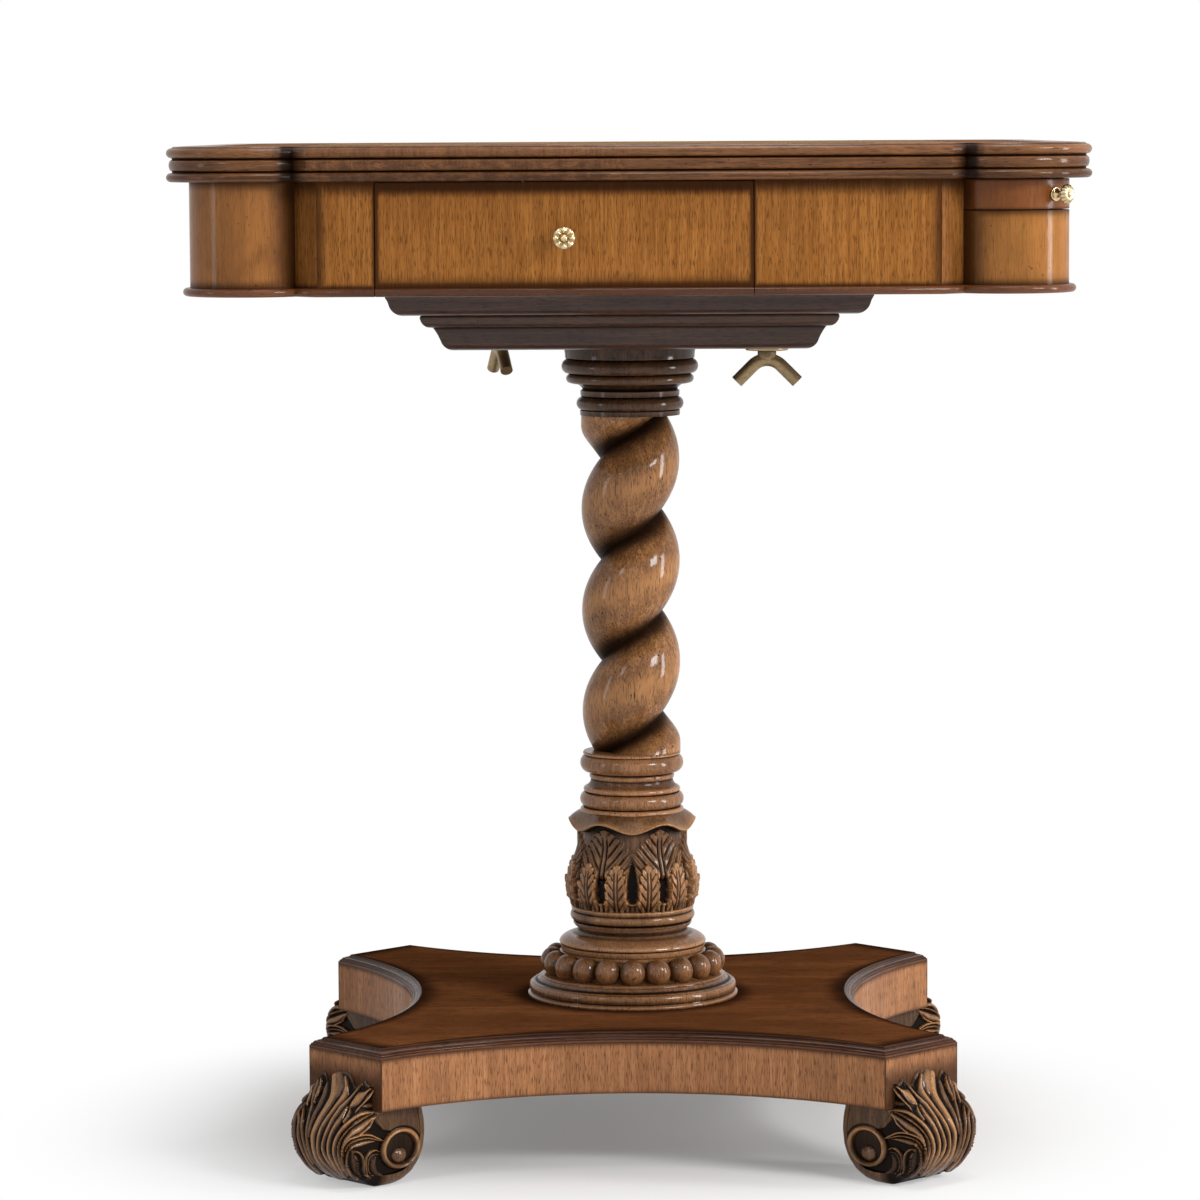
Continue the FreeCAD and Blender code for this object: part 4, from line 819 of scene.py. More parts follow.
@dataclass
class Studio:
    """Camera, lamps, sky and the floor that fades to white."""

    eye: Place = (0.0, -3.8026, 0.7759)
    down: float = 5.484
    aside: float = 0.36
    lean: float = 0.0055
    lens: float = 148.5
    sensor: float = 36.0
    aim: Place = (0, 0, 0.42)
    sky: float = 0.36
    floor_half: float = 14.0

    def build(self) -> None:
        """Set everything up."""
        self.camera()
        self.world()
        self.floor()
        self.lamp("key", (2.55, -2.15, 1.9), 1.1, 0.8, 66.0)
        self.lamp("right_strip", (3.0, -0.7, 0.9), 0.5, 1.5, 41.0)
        self.lamp("left_box", (-1.9, -2.5, 2.1), 0.5, 0.7, 6.0)
        self.lamp("left_strip", (-2.7, -1.2, 0.8), 0.45, 1.5, 6.5)
        self.lamp("top", (0.3, -0.5, 3.0), 1.2, 1.2, 38.0)
        bpy.context.scene.view_settings.view_transform = "Standard"

    def camera(self) -> None:
        """Place the camera."""
        data = bpy.data.cameras.new("camera")
        data.lens = self.lens
        data.sensor_width = self.sensor
        data.clip_end = 100.0
        camera = placed("camera", data)
        yaw, pitch = math.radians(self.aside), math.radians(self.down)
        flat = math.cos(pitch)
        ahead = Vector((-math.sin(yaw) * flat, math.cos(yaw) * flat, -math.sin(pitch)))
        right = ahead.cross(Vector((0, 0, 1))).normalized()
        above = right.cross(ahead)
        cos, sin = math.cos(self.lean), math.sin(self.lean)
        axes = (right * cos - above * sin, above * cos + right * sin, -ahead)
        turn = Matrix(axes).transposed().to_4x4()
        camera.matrix_world = Matrix.Translation(self.eye) @ turn
        bpy.context.scene.camera = camera

    def world(self) -> None:
        """Light everything evenly, and show white to the camera and in reflections."""
        world = bpy.data.worlds.new("sky")
        bpy.context.scene.world = world
        paint = Paint(world, "World")
        diffuse = paint.node("ShaderNodeLightPath", outlet="Is Diffuse Ray")
        level = paint.node("ShaderNodeMapRange", {}, {"Value": diffuse, "To Min": 1.0, "To Max": self.sky})
        paint.surface(paint.node("ShaderNodeBackground", {}, {"Color": (1, 1, 1), "Strength": level}))

    def floor(self) -> None:
        """Lay the floor, which keeps the table's shadow and turns white further off."""
        mesh = bpy.data.meshes.new("floor")
        half = self.floor_half
        mesh.from_pydata([(-half, -half, 0), (half, -half, 0), (half, half, 0), (-half, half, 0)], [],
                         [(0, 1, 2, 3)])
        placed("floor", mesh)
        paint = Paint(bpy.data.materials.new("floor_paper"))
        where = paint.node("ShaderNodeTexCoord", outlet="Object")
        far = paint.node("ShaderNodeVectorMath", {"operation": "LENGTH"}, {0: where}, outlet="Value")
        ray = paint.node("ShaderNodeLightPath", outlet="Is Camera Ray")
        glossy = paint.node("ShaderNodeLightPath", outlet="Is Glossy Ray")
        clear = paint.node("ShaderNodeLightPath", outlet="Is Transmission Ray")
        share = (0.17 + 0.83 * paint.rise(far, 0.18, 0.50)) * (ray + glossy + clear).clipped()
        paper = paint.node("ShaderNodeBsdfDiffuse", {}, {"Color": (0.93, 0.93, 0.93)})
        white = paint.node("ShaderNodeEmission", {}, {"Color": (1, 1, 1), "Strength": 1.0})
        paint.surface(paint.node("ShaderNodeMixShader", {}, {0: share, 1: paper, 2: white}))
        mesh.materials.append(paint.owner)

    def lamp(self, name: str, place: Place, width: float, height: float, power: float) -> None:
        """Hang a soft box that faces the table's middle."""
        data = bpy.data.lights.new(name, "AREA")
        data.shape = "RECTANGLE"
        data.size = width
        data.size_y = height
        data.energy = power
        lamp = placed(name, data)
        lamp.location = place
        lamp.rotation_euler = (Vector(self.aim) - Vector(place)).to_track_quat("-Z", "Y").to_euler()


# ---------------------------------------------------------------- top

@dataclass
class TopBoard:
    """The moulded edge and the inlaid board inside it."""

    plan: CasePlan
    foot: float = 737.0
    top: float = 762.0
    edge: float = 12.0
    rim: float = 300.8

    def build(self) -> None:
        """Make the edge and dress the board."""
        profile = [(-self.edge, self.foot), (13.4, self.foot), (13.9, 743.2, 0.80), (12.0, 743.5),
                   (11.6, 744.0), (12.0, 744.6), (13.2, 745.2), (13.4, 752.0, 0.26), (12.2, 752.6),
                   (11.7, 753.2), (12.2, 753.8), (13.9, 754.2), (12.6, 760.9, 0.80), (12.2, 760.8),
                   (11.8, 761.3), (10.9, self.top, 0.2), (-self.edge, self.top), (-self.edge, self.foot)]
        shape = Shape().moulding(profile, self.plan.whole, reach=1.6, pieces=6)
        # painted shade on the moulding along the cant boards and on its lower bead
        for points, relief in zip(shape.points, shape.relief):
            relief *= self.shade(points)
        shape.build("top_edge", MOULDING, TABLE, "moulding_walnut", "top_edge_moulding", crease=40.0)
        rims = [(axis, side * self.rim, 18.0) for axis in (0, 1) for side in (-1, 1)]
        BORDER.on_node("top_border_veneer", Grain.ACROSS, rims)
        STRING.on_node("field_stringing", Grain.ACROSS)
        LIGHT_SQUARE.on_node("light_squares", Grain.ACROSS)
        DARK_SQUARE.on_node("dark_squares", Grain.DEEP)
        RAW.on_node("top_core", Grain.ACROSS)

    @staticmethod
    def shade(points: np.ndarray) -> np.ndarray:
        """Return the share of relief left, lowered where shade is painted: along the cant boards and low on
        the edge, on its lower bead.
        """
        across, along = np.abs(points[:, :2]).max(1), np.abs(points[:, :2]).min(1)
        cant = smoothstep(across, 290.0, 300.0) * smoothstep(along, 228.0, 234.0)
        cant = cant * smoothstep(along, 249.0, 243.0)
        return (1 - 0.85 * cant) * (1 - 0.6 * smoothstep(points[:, 2], 743.4, 741.0))


# ---------------------------------------------------------------- case

@dataclass
class Case:
    """Rails, cant boards, turrets and the bead under them.

    The bands are the widths of the dark glazing along each edge, with painted shade in it; the top band is
    painted shadow under the top moulding, the drawer band painted shade beside the drawer gaps.
    """

    plan: CasePlan
    foot: float = 662.0
    top: float = 737.0
    slide_foot: float = 715.0
    gap: float = 0.7
    drawer_left: float = -178.9
    drawer_right: float = 87.5
    bead_foot: float = 656.0
    bead_out: float = 5.1
    bead_radius: float = 3.0
    bead_back: float = 18.0
    foot_band: float = 5.0
    top_shadow_band: float = 17.0
    end_band: float = 12.0
    side_band: float = 10.0
    gap_shade_band: float = 3.6

    def build(self) -> None:
        """Make what shows and dress the rest."""
        straight = self.plan.half - self.plan.cut
        slide_foot = self.slide_foot - self.gap
        # painted shadow under the top moulding, and glazing with painted shade at the foot
        upright = [(2, self.foot, self.foot_band), (2, self.top, self.top_shadow_band)]
        for name, side in (("front_rails", 1.0), ("back_rails", -1.0)):
            gaps = (side * (self.drawer_left - self.gap), side * (self.drawer_right + self.gap))
            # painted shade beside the drawer gaps
            across = [(0, place, self.gap_shade_band) for place in gaps]
            across += [(0, place, self.end_band) for place in (-straight, straight)]
            VENEER.on_node(name, Grain.UPRIGHT, upright + across)
        for name in ("right_rail", "left_rail"):
            sides = [(1, place, self.side_band) for place in (-straight, straight)]
            VENEER.on_node(name, Grain.UPRIGHT, upright + sides)
        CANT.on_node("cant_boards", Grain.UPRIGHT, upright)
        for name, degrees in CORNERS:
            top = slide_foot if (name, degrees) in SLIDES else self.top
            # the front right turret takes the lighter copy, painted light from the right; the others take the
            # darker copy, painted shade
            finish = LIT_TURRET if name == "front_right" else TURRET
            # painted shadow under the top moulding, and painted shade at the foot and where the face turns
            # away at its ends
            shape = standing(turned(self.plan.turret_arc(0.0), degrees), self.foot, top, 9.0, 32.0)
            shape.build("turret_face_" + name, finish, TABLE, "case_veneer", "turret_" + name, crease=40.0)
        self.bead()
        for name in ("case_bottom", "drawer_runners", "slide_runners"):
            RAW.on_node(name, Grain.ACROSS)

    def bead(self) -> None:
        """Run the bead round the foot, leaving the drawers' own strips out."""
        out, back = self.bead_out - self.bead_radius, -self.bead_back
        profile = [(back, self.bead_foot), (out, self.bead_foot), (out, self.foot, 1.0), (back, self.foot),
                   (back, self.bead_foot)]
        start, end = self.drawer_right + self.gap, -self.drawer_left + self.gap
        shape = Shape()
        for degrees in (0, 180):
            def ring(offset: float, turn: float = degrees) -> np.ndarray:
                """Return the half outline at an offset."""
                return turned(self.plan.half_way(offset, start, end), turn)
            shape.moulding(profile, ring, reach=1.6, closed=False)
        shape.build("case_bead", BEAD, TABLE, "moulding_walnut", "base_bead", crease=50.0)


@dataclass
class Drawer:
    """A veneered front with its bead and knob, on a plain box. The back one is a half turn of the front."""

    name: str
    degrees: float
    left: float = -178.9
    right: float = 87.5
    face: float = 312.8
    thick: float = 18.0
    foot: float = 661.8
    top: float = 736.3
    bead_foot: float = 656.0
    bead_out: float = 5.1
    bead_radius: float = 3.0
    knob_level: float = 697.0
    knob_radius: float = 8.2
    knob_length: float = 17.0

    def build(self) -> None:
        """Make the front and knob and dress the box."""
        body = self.name + "_drawer"
        node = body + "_front"
        turn = about_z(self.degrees)
        self.front().moved(turn).build(body + "_face", VENEER, body, "case_veneer", node, soften=0.4)
        self.strip().moved(turn).build(body + "_bead", BEAD, body, "moulding_walnut", node, crease=50.0)
        seat = Matrix.Translation(((self.left + self.right) / 2, -self.face, self.knob_level))
        seat = seat @ Matrix.Rotation(math.radians(90), 4, "X")
        rosette(self.knob_radius, self.knob_length).moved(turn @ seat).build(
            body + "_rosette", BRASS, body, "polished_brass", body + "_knob", crease=60.0)
        PLAIN.on_node(body + "_box", Grain.ACROSS)
        PLAIN.on_node(body + "_bottom", Grain.ACROSS)

    def front(self) -> Shape:
        """Return the veneered board, with painted shade towards its edges, widest as painted shadow under the
        top moulding.
        """
        x = self.left + (self.right - self.left) * eased(41)
        z = self.foot + (self.top - self.foot) * eased(13)
        net = np.stack([np.repeat(x[None, :], len(z), 0), np.full((len(z), len(x)), -self.face),
                        np.repeat(z[:, None], len(x), 1)], -1)
        ends = np.minimum(net[:, :, 0] - self.left, self.right - net[:, :, 0])
        # painted shade by the gaps at the ends and along the foot, a wider painted shadow under the top
        # moulding
        gap = np.minimum(ends * 2.0, np.minimum(net[:, :, 2] - self.foot, (self.top - net[:, :, 2]) * 0.6))
        relief = 0.5 * smoothstep(gap, 1.2, 8.4)
        back = net + np.array([0, self.thick, 0])
        shape = Shape().grid(net, relief=relief).grid(back)
        for front, rear in ((net, back), (net.swapaxes(0, 1), back.swapaxes(0, 1))):
            shape.grid(np.stack([front[0], rear[0]])).grid(np.stack([front[-1], rear[-1]]))
        return shape

    def strip(self) -> Shape:
        """Return the bead under the board."""
        out, back = self.bead_out - self.bead_radius, self.bead_out + 0.6 - self.thick
        profile = [(back, self.bead_foot), (out, self.bead_foot), (out, self.foot + 0.2, 1.0),
                   (0.0, self.foot), (back, self.foot), (back, self.bead_foot)]

        def ring(offset: float) -> np.ndarray:
            """Return the front's foot line at an offset."""
            return np.array([[self.left, -self.face - offset], [self.right, -self.face - offset]])
        return Shape().moulding(profile, ring, reach=1.6, closed=False)


def rosette(radius: float, length: float, petals: int = 8) -> Shape:
    """A cast knob on z = 0 facing +Z: backplate, stem and a flower face.

    Args:
        radius: of the flower.
        length: from the backplate to the middle of the flower.
        petals: how many.
    Returns:
        The shape, in the knob's own place.
    """
    around = 96
    angles = even_turns(around)
    neck_out, neck_level = 0.92 * radius, 0.70 * length
    stem = [(0.02, -9.5), (1.9, -9.5), (1.9, 0.0), (0.76 * radius, 0.0), (0.7 * radius, 1.6, 0.3),
            (0.42 * radius, 2.8, -0.3), (0.33 * radius, 0.45 * length, -0.2),
            (0.55 * radius, 0.62 * length, -0.3), (neck_out, neck_level)]
    shape = Shape().lathe(stem, around, 1.5, 5)
    wave = np.cos(petals * angles / 2) ** 2
    rows, relief = [polar(neck_out, angles, neck_level)], [0 * angles + 0.2]
    for share in np.concatenate([np.linspace(1, 0.36, 18), np.linspace(0.33, 0.0, 9)]):
        if share > 0.35:
            body = math.sin((share - 0.35) / 0.65 * math.pi) ** 0.7 if share < 1 else 0.0
            reach = radius * share * (1 - 0.07 * (1 - wave) * smoothstep(np.array(share), 0.6, 1.0))
            level = length * 0.76 + radius * (0.26 * body * (0.25 + 0.75 * wave))
            tone = 0.25 + 0.6 * wave * body
        else:
            dome = math.sqrt(max(0.0, 1 - (share / 0.34) ** 2))
            reach = radius * share
            level = length * 0.80 + dome * length * 0.19
            tone = np.full(around, 0.3 + 0.6 * dome)
        rows.append(polar(reach, angles, level))
        relief.append(tone)
    return shape.grid(np.stack(rows), relief=np.stack(relief), wrap=True)


def shell_knob(radius: float, length: float, flutes: int = 14) -> Shape:
    """A small turned knob on z = 0 facing +Z with a radially fluted edge and face."""
    angles = even_turns(flutes * 8)
    outline = bent([(0.02, -9.5), (1.9, -9.5), (1.9, 0.0), (0.74 * radius, 0.0), (0.7 * radius, 1.4, 0.3),
                    (0.4 * radius, 2.6, -0.3), (0.36 * radius, 0.42 * length, -0.2),
                    (0.6 * radius, 0.52 * length, -0.2), (0.98 * radius, 0.66 * length, 0.15),
                    (0.98 * radius, 0.78 * length, 0.35), (0.52 * radius, 0.93 * length, 0.2),
                    (0.34 * radius, 0.90 * length), (0.3 * radius, 0.96 * length, -0.2),
                    (0.02, length, 0.3)], 6)
    share = smoothstep(outline[:, 0] / radius, 0.45, 0.9) * (outline[:, 1] > 0.5 * length)
    flute = 0.5 + 0.5 * np.cos(flutes * angles)
    reach = outline[:, :1] * (1 - 0.09 * share[:, None] * (1 - flute)[None, :])
    net = polar(reach, angles, outline[:, 1:])
    relief = 0.62 - 0.4 * share[:, None] * (1 - flute)[None, :]
    return Shape().grid(net, relief=relief, wrap=True)


@dataclass
class DrinksSlide:
    """The round nose that crowns a turret, its shelf and its knob."""

    name: str
    degrees: float
    plan: CasePlan
    foot: float = 715.0
    top: float = 736.3
    shelf_half: float = 41.5
    shelf_inner: float = 182.0
    shelf_foot: float = 716.0
    shelf_top: float = 730.0
    knob_radius: float = 7.0
    knob_length: float = 15.0

    def build(self) -> None:
        """Make the slide."""
        body = self.name + "_slide"
        board = "slide_board_" + self.name
        # painted shade at foot and top, under the top moulding, and towards the ends
        nose = standing(turned(self.plan.turret_arc(0.0), self.degrees), self.foot, self.top, 3.0, 20.0)
        nose.build("slide_nose_" + self.name, NOSE, body, "case_veneer", board, soften=0.5, crease=40.0)
        inner, outer, half = self.shelf_inner, self.plan.cant() + 0.5, self.shelf_half
        plan = np.array([[inner, -half], [outer, -half], [outer, half], [inner, half]])
        turn = about_z(self.degrees)
        shelf = Shape().prism(plan, self.shelf_foot, self.shelf_top).moved(turn)
        shelf.build("slide_shelf_" + self.name, BORDER, body, "drawer_wood", board, soften=0.8)
        reach = self.plan.centre() + self.plan.radius
        seat = turn @ Matrix.Translation((reach, 0, (self.foot + self.top) / 2))
        seat = seat @ Matrix.Rotation(math.pi / 2, 4, "Y")
        knob = shell_knob(self.knob_radius, self.knob_length).moved(seat)
        knob.build("slide_shell_" + self.name, BRASS, body, "polished_brass", "slide_knob_" + self.name,
                   crease=60.0)


# ---------------------------------------------------------------- pedestal head

@dataclass
class PedestalHead:
    """The two stepped, moulded boards between column and case."""

    bearer: float = 179.0
    head: float = 154.6
    inner: float = 24.0

    def build(self) -> None:
        """Make both boards."""
        upper = [(0.0, 637.0), (self.bearer - 14.0, 637.0), (self.bearer - 2.6, 645.0, 0.36),
                 (self.bearer - 0.3, 650.2, -0.10), (self.bearer, 651.0), (self.bearer, 655.4),
                 (self.bearer - 0.6, 656.0), (0.0, 656.0)]
        lower = [(0.0, 610.0), (self.head - 26.0, 610.0), (self.head - 15.4, 615.6, 0.32),
                 (self.head - 9.8, 626.6, -0.07), (self.head - 9.2, 627.2), (self.head - 8.4, 627.4),
                 (self.head - 0.4, 633.2, 0.36), (self.head, 634.4, 0.1), (self.head - 0.6, 636.4, 0.2),
                 (self.head - 1.6, 637.0), (0.0, 637.0)]
        for name, node, outline in (("bearer_face", "bearer_board", upper),
                                    ("head_face", "head_block", lower)):
            profile = [(max(out, self.inner), level, *rest) for out, level, *rest in outline]
            shape = Shape().moulding(profile, square_plan)
            for level in (profile[0][1], profile[-1][1]):
                shape.cap(at_level(square_plan(self.inner), level))
            shape.build(name, DARK, TABLE, "espresso_wood", node, soften=0.25, crease=38.0)


@dataclass
class WingBolt:
    """A bent bar on a hub and shank, and the washer it bears on."""

    name: str
    x: float
    y: float
    degrees: float
    bar: float = 4.9
    axis: float = 600.5
    bend: float = 15.0
    arm: float = 17.0
    shank: float = 4.0
    shank_top: float = 649.9
    around: int = 28

    def build(self) -> None:
        """Make bolt and washer."""
        place = Matrix.Translation((self.x, self.y, 0)) @ about_z(self.degrees)
        body = self.name + "_wing_bolt"
        hub = [(self.shank, self.shank_top), (self.shank, 607.4), (6.2, 607.3), (7.0, 606.4, -0.3),
               (6.9, 602.4), (5.4, 600.6)]
        bolt = self.bent_bar().lathe(hub, 40, 2.0, 4).cap(polar(self.shank, even_turns(40), self.shank_top))
        bolt.moved(place).build(body + "_bar", ANTIQUE, body, "antique_brass", "wing_bolt_" + self.name,
                                crease=50.0)
        ring = [(4.6, 610.0), (4.6, 607.5), (15.2, 607.5), (16.0, 608.3, 0.3), (16.0, 609.6), (15.4, 610.0),
                (4.6, 610.0)]
        washer = Shape().lathe(ring, 40, 2.0, 4).moved(place)
        washer.build("washer_" + self.name, ANTIQUE, self.name + "_washer", "antique_brass",
                     "wing_washer_" + self.name, crease=50.0)

    def bent_bar(self) -> Shape:
        """Return the bar, its middle on x = 0, with sawn ends."""
        half = [(0.0, self.axis)]
        steps = 8
        for step in range(1, steps + 1):
            turn = math.radians(45) * step / steps
            half.append((self.bend * math.sin(turn), self.axis - self.bend * (1 - math.cos(turn))))
        end = half[-1]
        slope = math.sqrt(0.5)
        for share in (0.5, 1.0):
            half.append((end[0] + self.arm * slope * share, end[1] - self.arm * slope * share))
        path = np.array([(-x, z) for x, z in reversed(half[1:])] + half)
        way = np.gradient(path, axis=0)
        way /= np.linalg.norm(way, axis=1, keepdims=True)
        around = even_turns(self.around)[:, None]
        rings = []
        for (x, z), (dx, dz) in zip(path, way):
            side = np.cos(around) * np.array([[dz, 0, -dx]]) + np.sin(around) * np.array([[0, 1, 0]])
            rings.append(np.array([x, 0, z]) + self.bar * side)
        shape = Shape().grid(np.stack(rings), relief=np.full((len(rings), self.around), 0.4), wrap=True)
        for ring in (rings[0], rings[-1]):
            middle = ring.mean(0)
            sawn = middle + (ring - middle) * 0.86
            shape.grid(np.stack([ring, sawn]), relief=np.full((2, self.around), 0.9), wrap=True)
            shape.cap(sawn, tone=0.95)
        return shape


# ---------------------------------------------------------------- column

@dataclass
class Column:
    """Everything turned on the pole, from the base ring to the capital."""

    def build(self) -> None:
        """Make the turned pieces."""
        capital = [(0.0, 554.0), (38.3, 554.0), (38.5, 557.6), (37.6, 558.0), (37.8, 568.0, 0.70),
                   (37.0, 568.5), (38.0, 569.0), (38.2, 572.8), (37.2, 573.4), (36.4, 574.2),
                   (45.0, 578.4, -0.28), (47.2, 579.0), (47.0, 585.4, 0.62), (46.4, 585.9), (49.6, 586.5),
                   (49.4, 596.8, 0.60), (48.6, 597.3), (49.8, 598.0), (50.4, 604.0, -0.06),
                   (52.4, 609.2, -0.06), (52.8, 610.0), (0.0, 610.0)]
        collar = [(0.0, 243.0), (40.0, 243.0), (39.4, 245.6), (38.6, 246.0), (38.8, 250.6, 0.62),
                  (37.2, 251.0), (37.4, 251.5), (37.8, 261.8, 0.5), (36.2, 262.3), (36.4, 262.9),
                  (37.0, 263.3), (37.2, 265.6, 0.3), (36.2, 266.6), (31.8, 271.8, -0.3), (31.6, 272.6),
                  (32.2, 273.0), (32.4, 276.6, 0.3), (31.6, 277.2), (36.6, 278.6, -0.1), (37.2, 290.8, 0.5),
                  (35.6, 291.2), (37.2, 291.6), (37.6, 293.2, 0.4), (37.0, 294.0), (0.0, 294.0)]
        neck = [(0.0, 139.5), (55.0, 139.5), (55.6, 140.2), (56.2, 143.4), (55.0, 143.8), (55.2, 144.4),
                (56.9, 145.8, 0.4), (55.4, 148.4, 0.15), (47.6, 152.0, 0.18), (43.0, 154.2, -0.3),
                (42.2, 155.2), (42.3, 156.8), (43.2, 157.2), (43.6, 157.8), (45.4, 159.4, 0.2),
                (45.8, 160.0), (0.0, 160.0)]
        base = [(0.0, 104.0), (81.2, 104.0), (81.2, 106.2, 0.3), (79.4, 106.9), (79.2, 107.6),
                (79.2, 114.0, 0.35), (78.0, 114.4), (77.4, 115.2), (72.6, 118.6, -0.3), (72.0, 119.0),
                (0.0, 119.0)]
        for name, node, finish, profile in (("capital", "column_capital", CAPITAL, capital),
                                            ("collar", "lower_collar", COLLAR, collar),
                                            ("neck", "column_neck", NECK, neck),
                                            ("base_ring", "column_base_ring", COLUMN, base)):
            Shape().lathe(profile).build(name, finish, TABLE, "column_walnut", node, crease=42.0)


@dataclass
class RopeTwist:
    """The right-handed rope shaft."""

    radius: float = 37.8
    groove: float = 20.8
    pitch: float = 78.3
    foot: float = 294.0
    top: float = 554.0
    start: float = 305.2
    around: int = 180
    across: int = 44

    def reach(self, share: np.ndarray) -> np.ndarray:
        """Return the radius at a share of the pitch from one groove to the next."""
        drop = self.radius - self.groove
        bow = (drop ** 2 + (self.pitch / 2) ** 2) / (2 * drop)
        return self.radius - bow + np.sqrt(bow ** 2 - ((share - 0.5) * self.pitch) ** 2)

    def ends(self, share: np.ndarray, level: Reach) -> np.ndarray:
        """Round the lobes off sooner where they meet the capital and the collar."""
        at_top = 1 + 0.6 * smoothstep(level, self.top - 30.0, self.top - 6.0)
        at_foot = 1 + 0.6 * smoothstep(level, self.foot + 30.0, self.foot + 6.0)
        high = np.minimum(share * at_top, 0.5)
        low = 1 - np.minimum((1 - share) * at_foot, 0.5)
        return np.where(share < 0.5, high, low)

    def build(self) -> None:
        """Make the shaft."""
        turns = np.linspace(0, 1, self.around + 1)
        angles = 2 * math.pi * turns - math.pi / 2
        steps = np.concatenate([eased(self.across + 1)[:-1] + lobe for lobe in range(-2, 4)] + [[4.0]])
        level = self.start + self.pitch * (steps[:, None] + turns[None, :])
        share = np.repeat((steps % 1)[:, None], len(turns), 1)
        for edge, beyond in ((self.foot, level < self.foot), (self.top, level > self.top)):
            at_edge = ((edge - self.start) / self.pitch - turns) % 1
            share = np.where(beyond, at_edge[None, :], share)
            level = np.where(beyond, edge, level)
        share = self.ends(share, level)
        gap = np.minimum(share, 1 - share)
        # painted shade darkens the lobes towards the grooves; their middles get the worn light
        relief = 0.5 * smoothstep(gap, -0.03, 0.26) + 0.34 * smoothstep(gap, 0.22, 0.5)
        shape = Shape().grid(polar(self.reach(share), angles, level), relief=relief)
        for edge in (self.foot, self.top):
            at_edge = self.reach(self.ends(((edge - self.start) / self.pitch - turns[:-1]) % 1, edge))
            shape.cap(polar(at_edge, angles[:-1], edge))
        shape.build("rope_shaft", ROPE, TABLE, "column_walnut", "rope_twist_shaft", crease=38.0)


@dataclass
class BeadRing:
    """The ring of egg beads over the base."""

    beads: int = 20
    circle: float = 62.3
    radius: float = 9.0
    middle: float = 130.0

    def build(self) -> None:
        """Make the core and its beads."""
        core = [(0.0, 119.0), (71.0, 119.0), (70.0, 120.4, 0.3), (62.0, 124.0, -0.2), (57.5, 131.0, -0.1),
                (56.0, 136.0), (56.6, 138.6, 0.2), (54.6, 139.5), (0.0, 139.5)]
        Shape().lathe(core).build("bead_core", COLUMN, TABLE, "column_walnut", "bead_ring", crease=42.0)
        shape = Shape()
        points, relief = self.bead()
        for index in range(self.beads):
            shape.grid(turned(points, index * 360 / self.beads), relief=relief, wrap=True)
        shape.build("egg_beads", COLUMN, TABLE, "column_walnut", "bead_ring", crease=60.0)

    def bead(self) -> tuple[np.ndarray, np.ndarray]:
        """Return one egg's net about +X and its relief."""
        around = even_turns(28)
        up = np.linspace(-math.pi / 2, math.pi / 2, 19)[:, None]
        wide = self.radius * 1.04 * (1 - 0.04 * np.sin(up)) * np.cos(up)
        x = self.circle + wide * np.cos(around)
        y = wide * np.sin(around) * 1.05
        z = self.middle + self.radius * 1.16 * np.sin(up) + 0 * around
        away = np.hypot(x, y) - self.circle
        # relief falls on each egg's inner side towards the core: painted shade
        return np.stack([x, y, z], -1), np.clip(0.42 + away / self.radius * 0.38, 0, 1)


def near(value: np.ndarray, period: float, start: float = 0.0) -> np.ndarray:
    """Return the signed distance from the nearest of evenly spaced places."""
    return (value - start + period / 2) % period - period / 2


def notch(distance: np.ndarray, width: float) -> np.ndarray:
    """Return a rounded bump of height 1 around distance 0."""
    return np.exp(-(distance / width) ** 2)


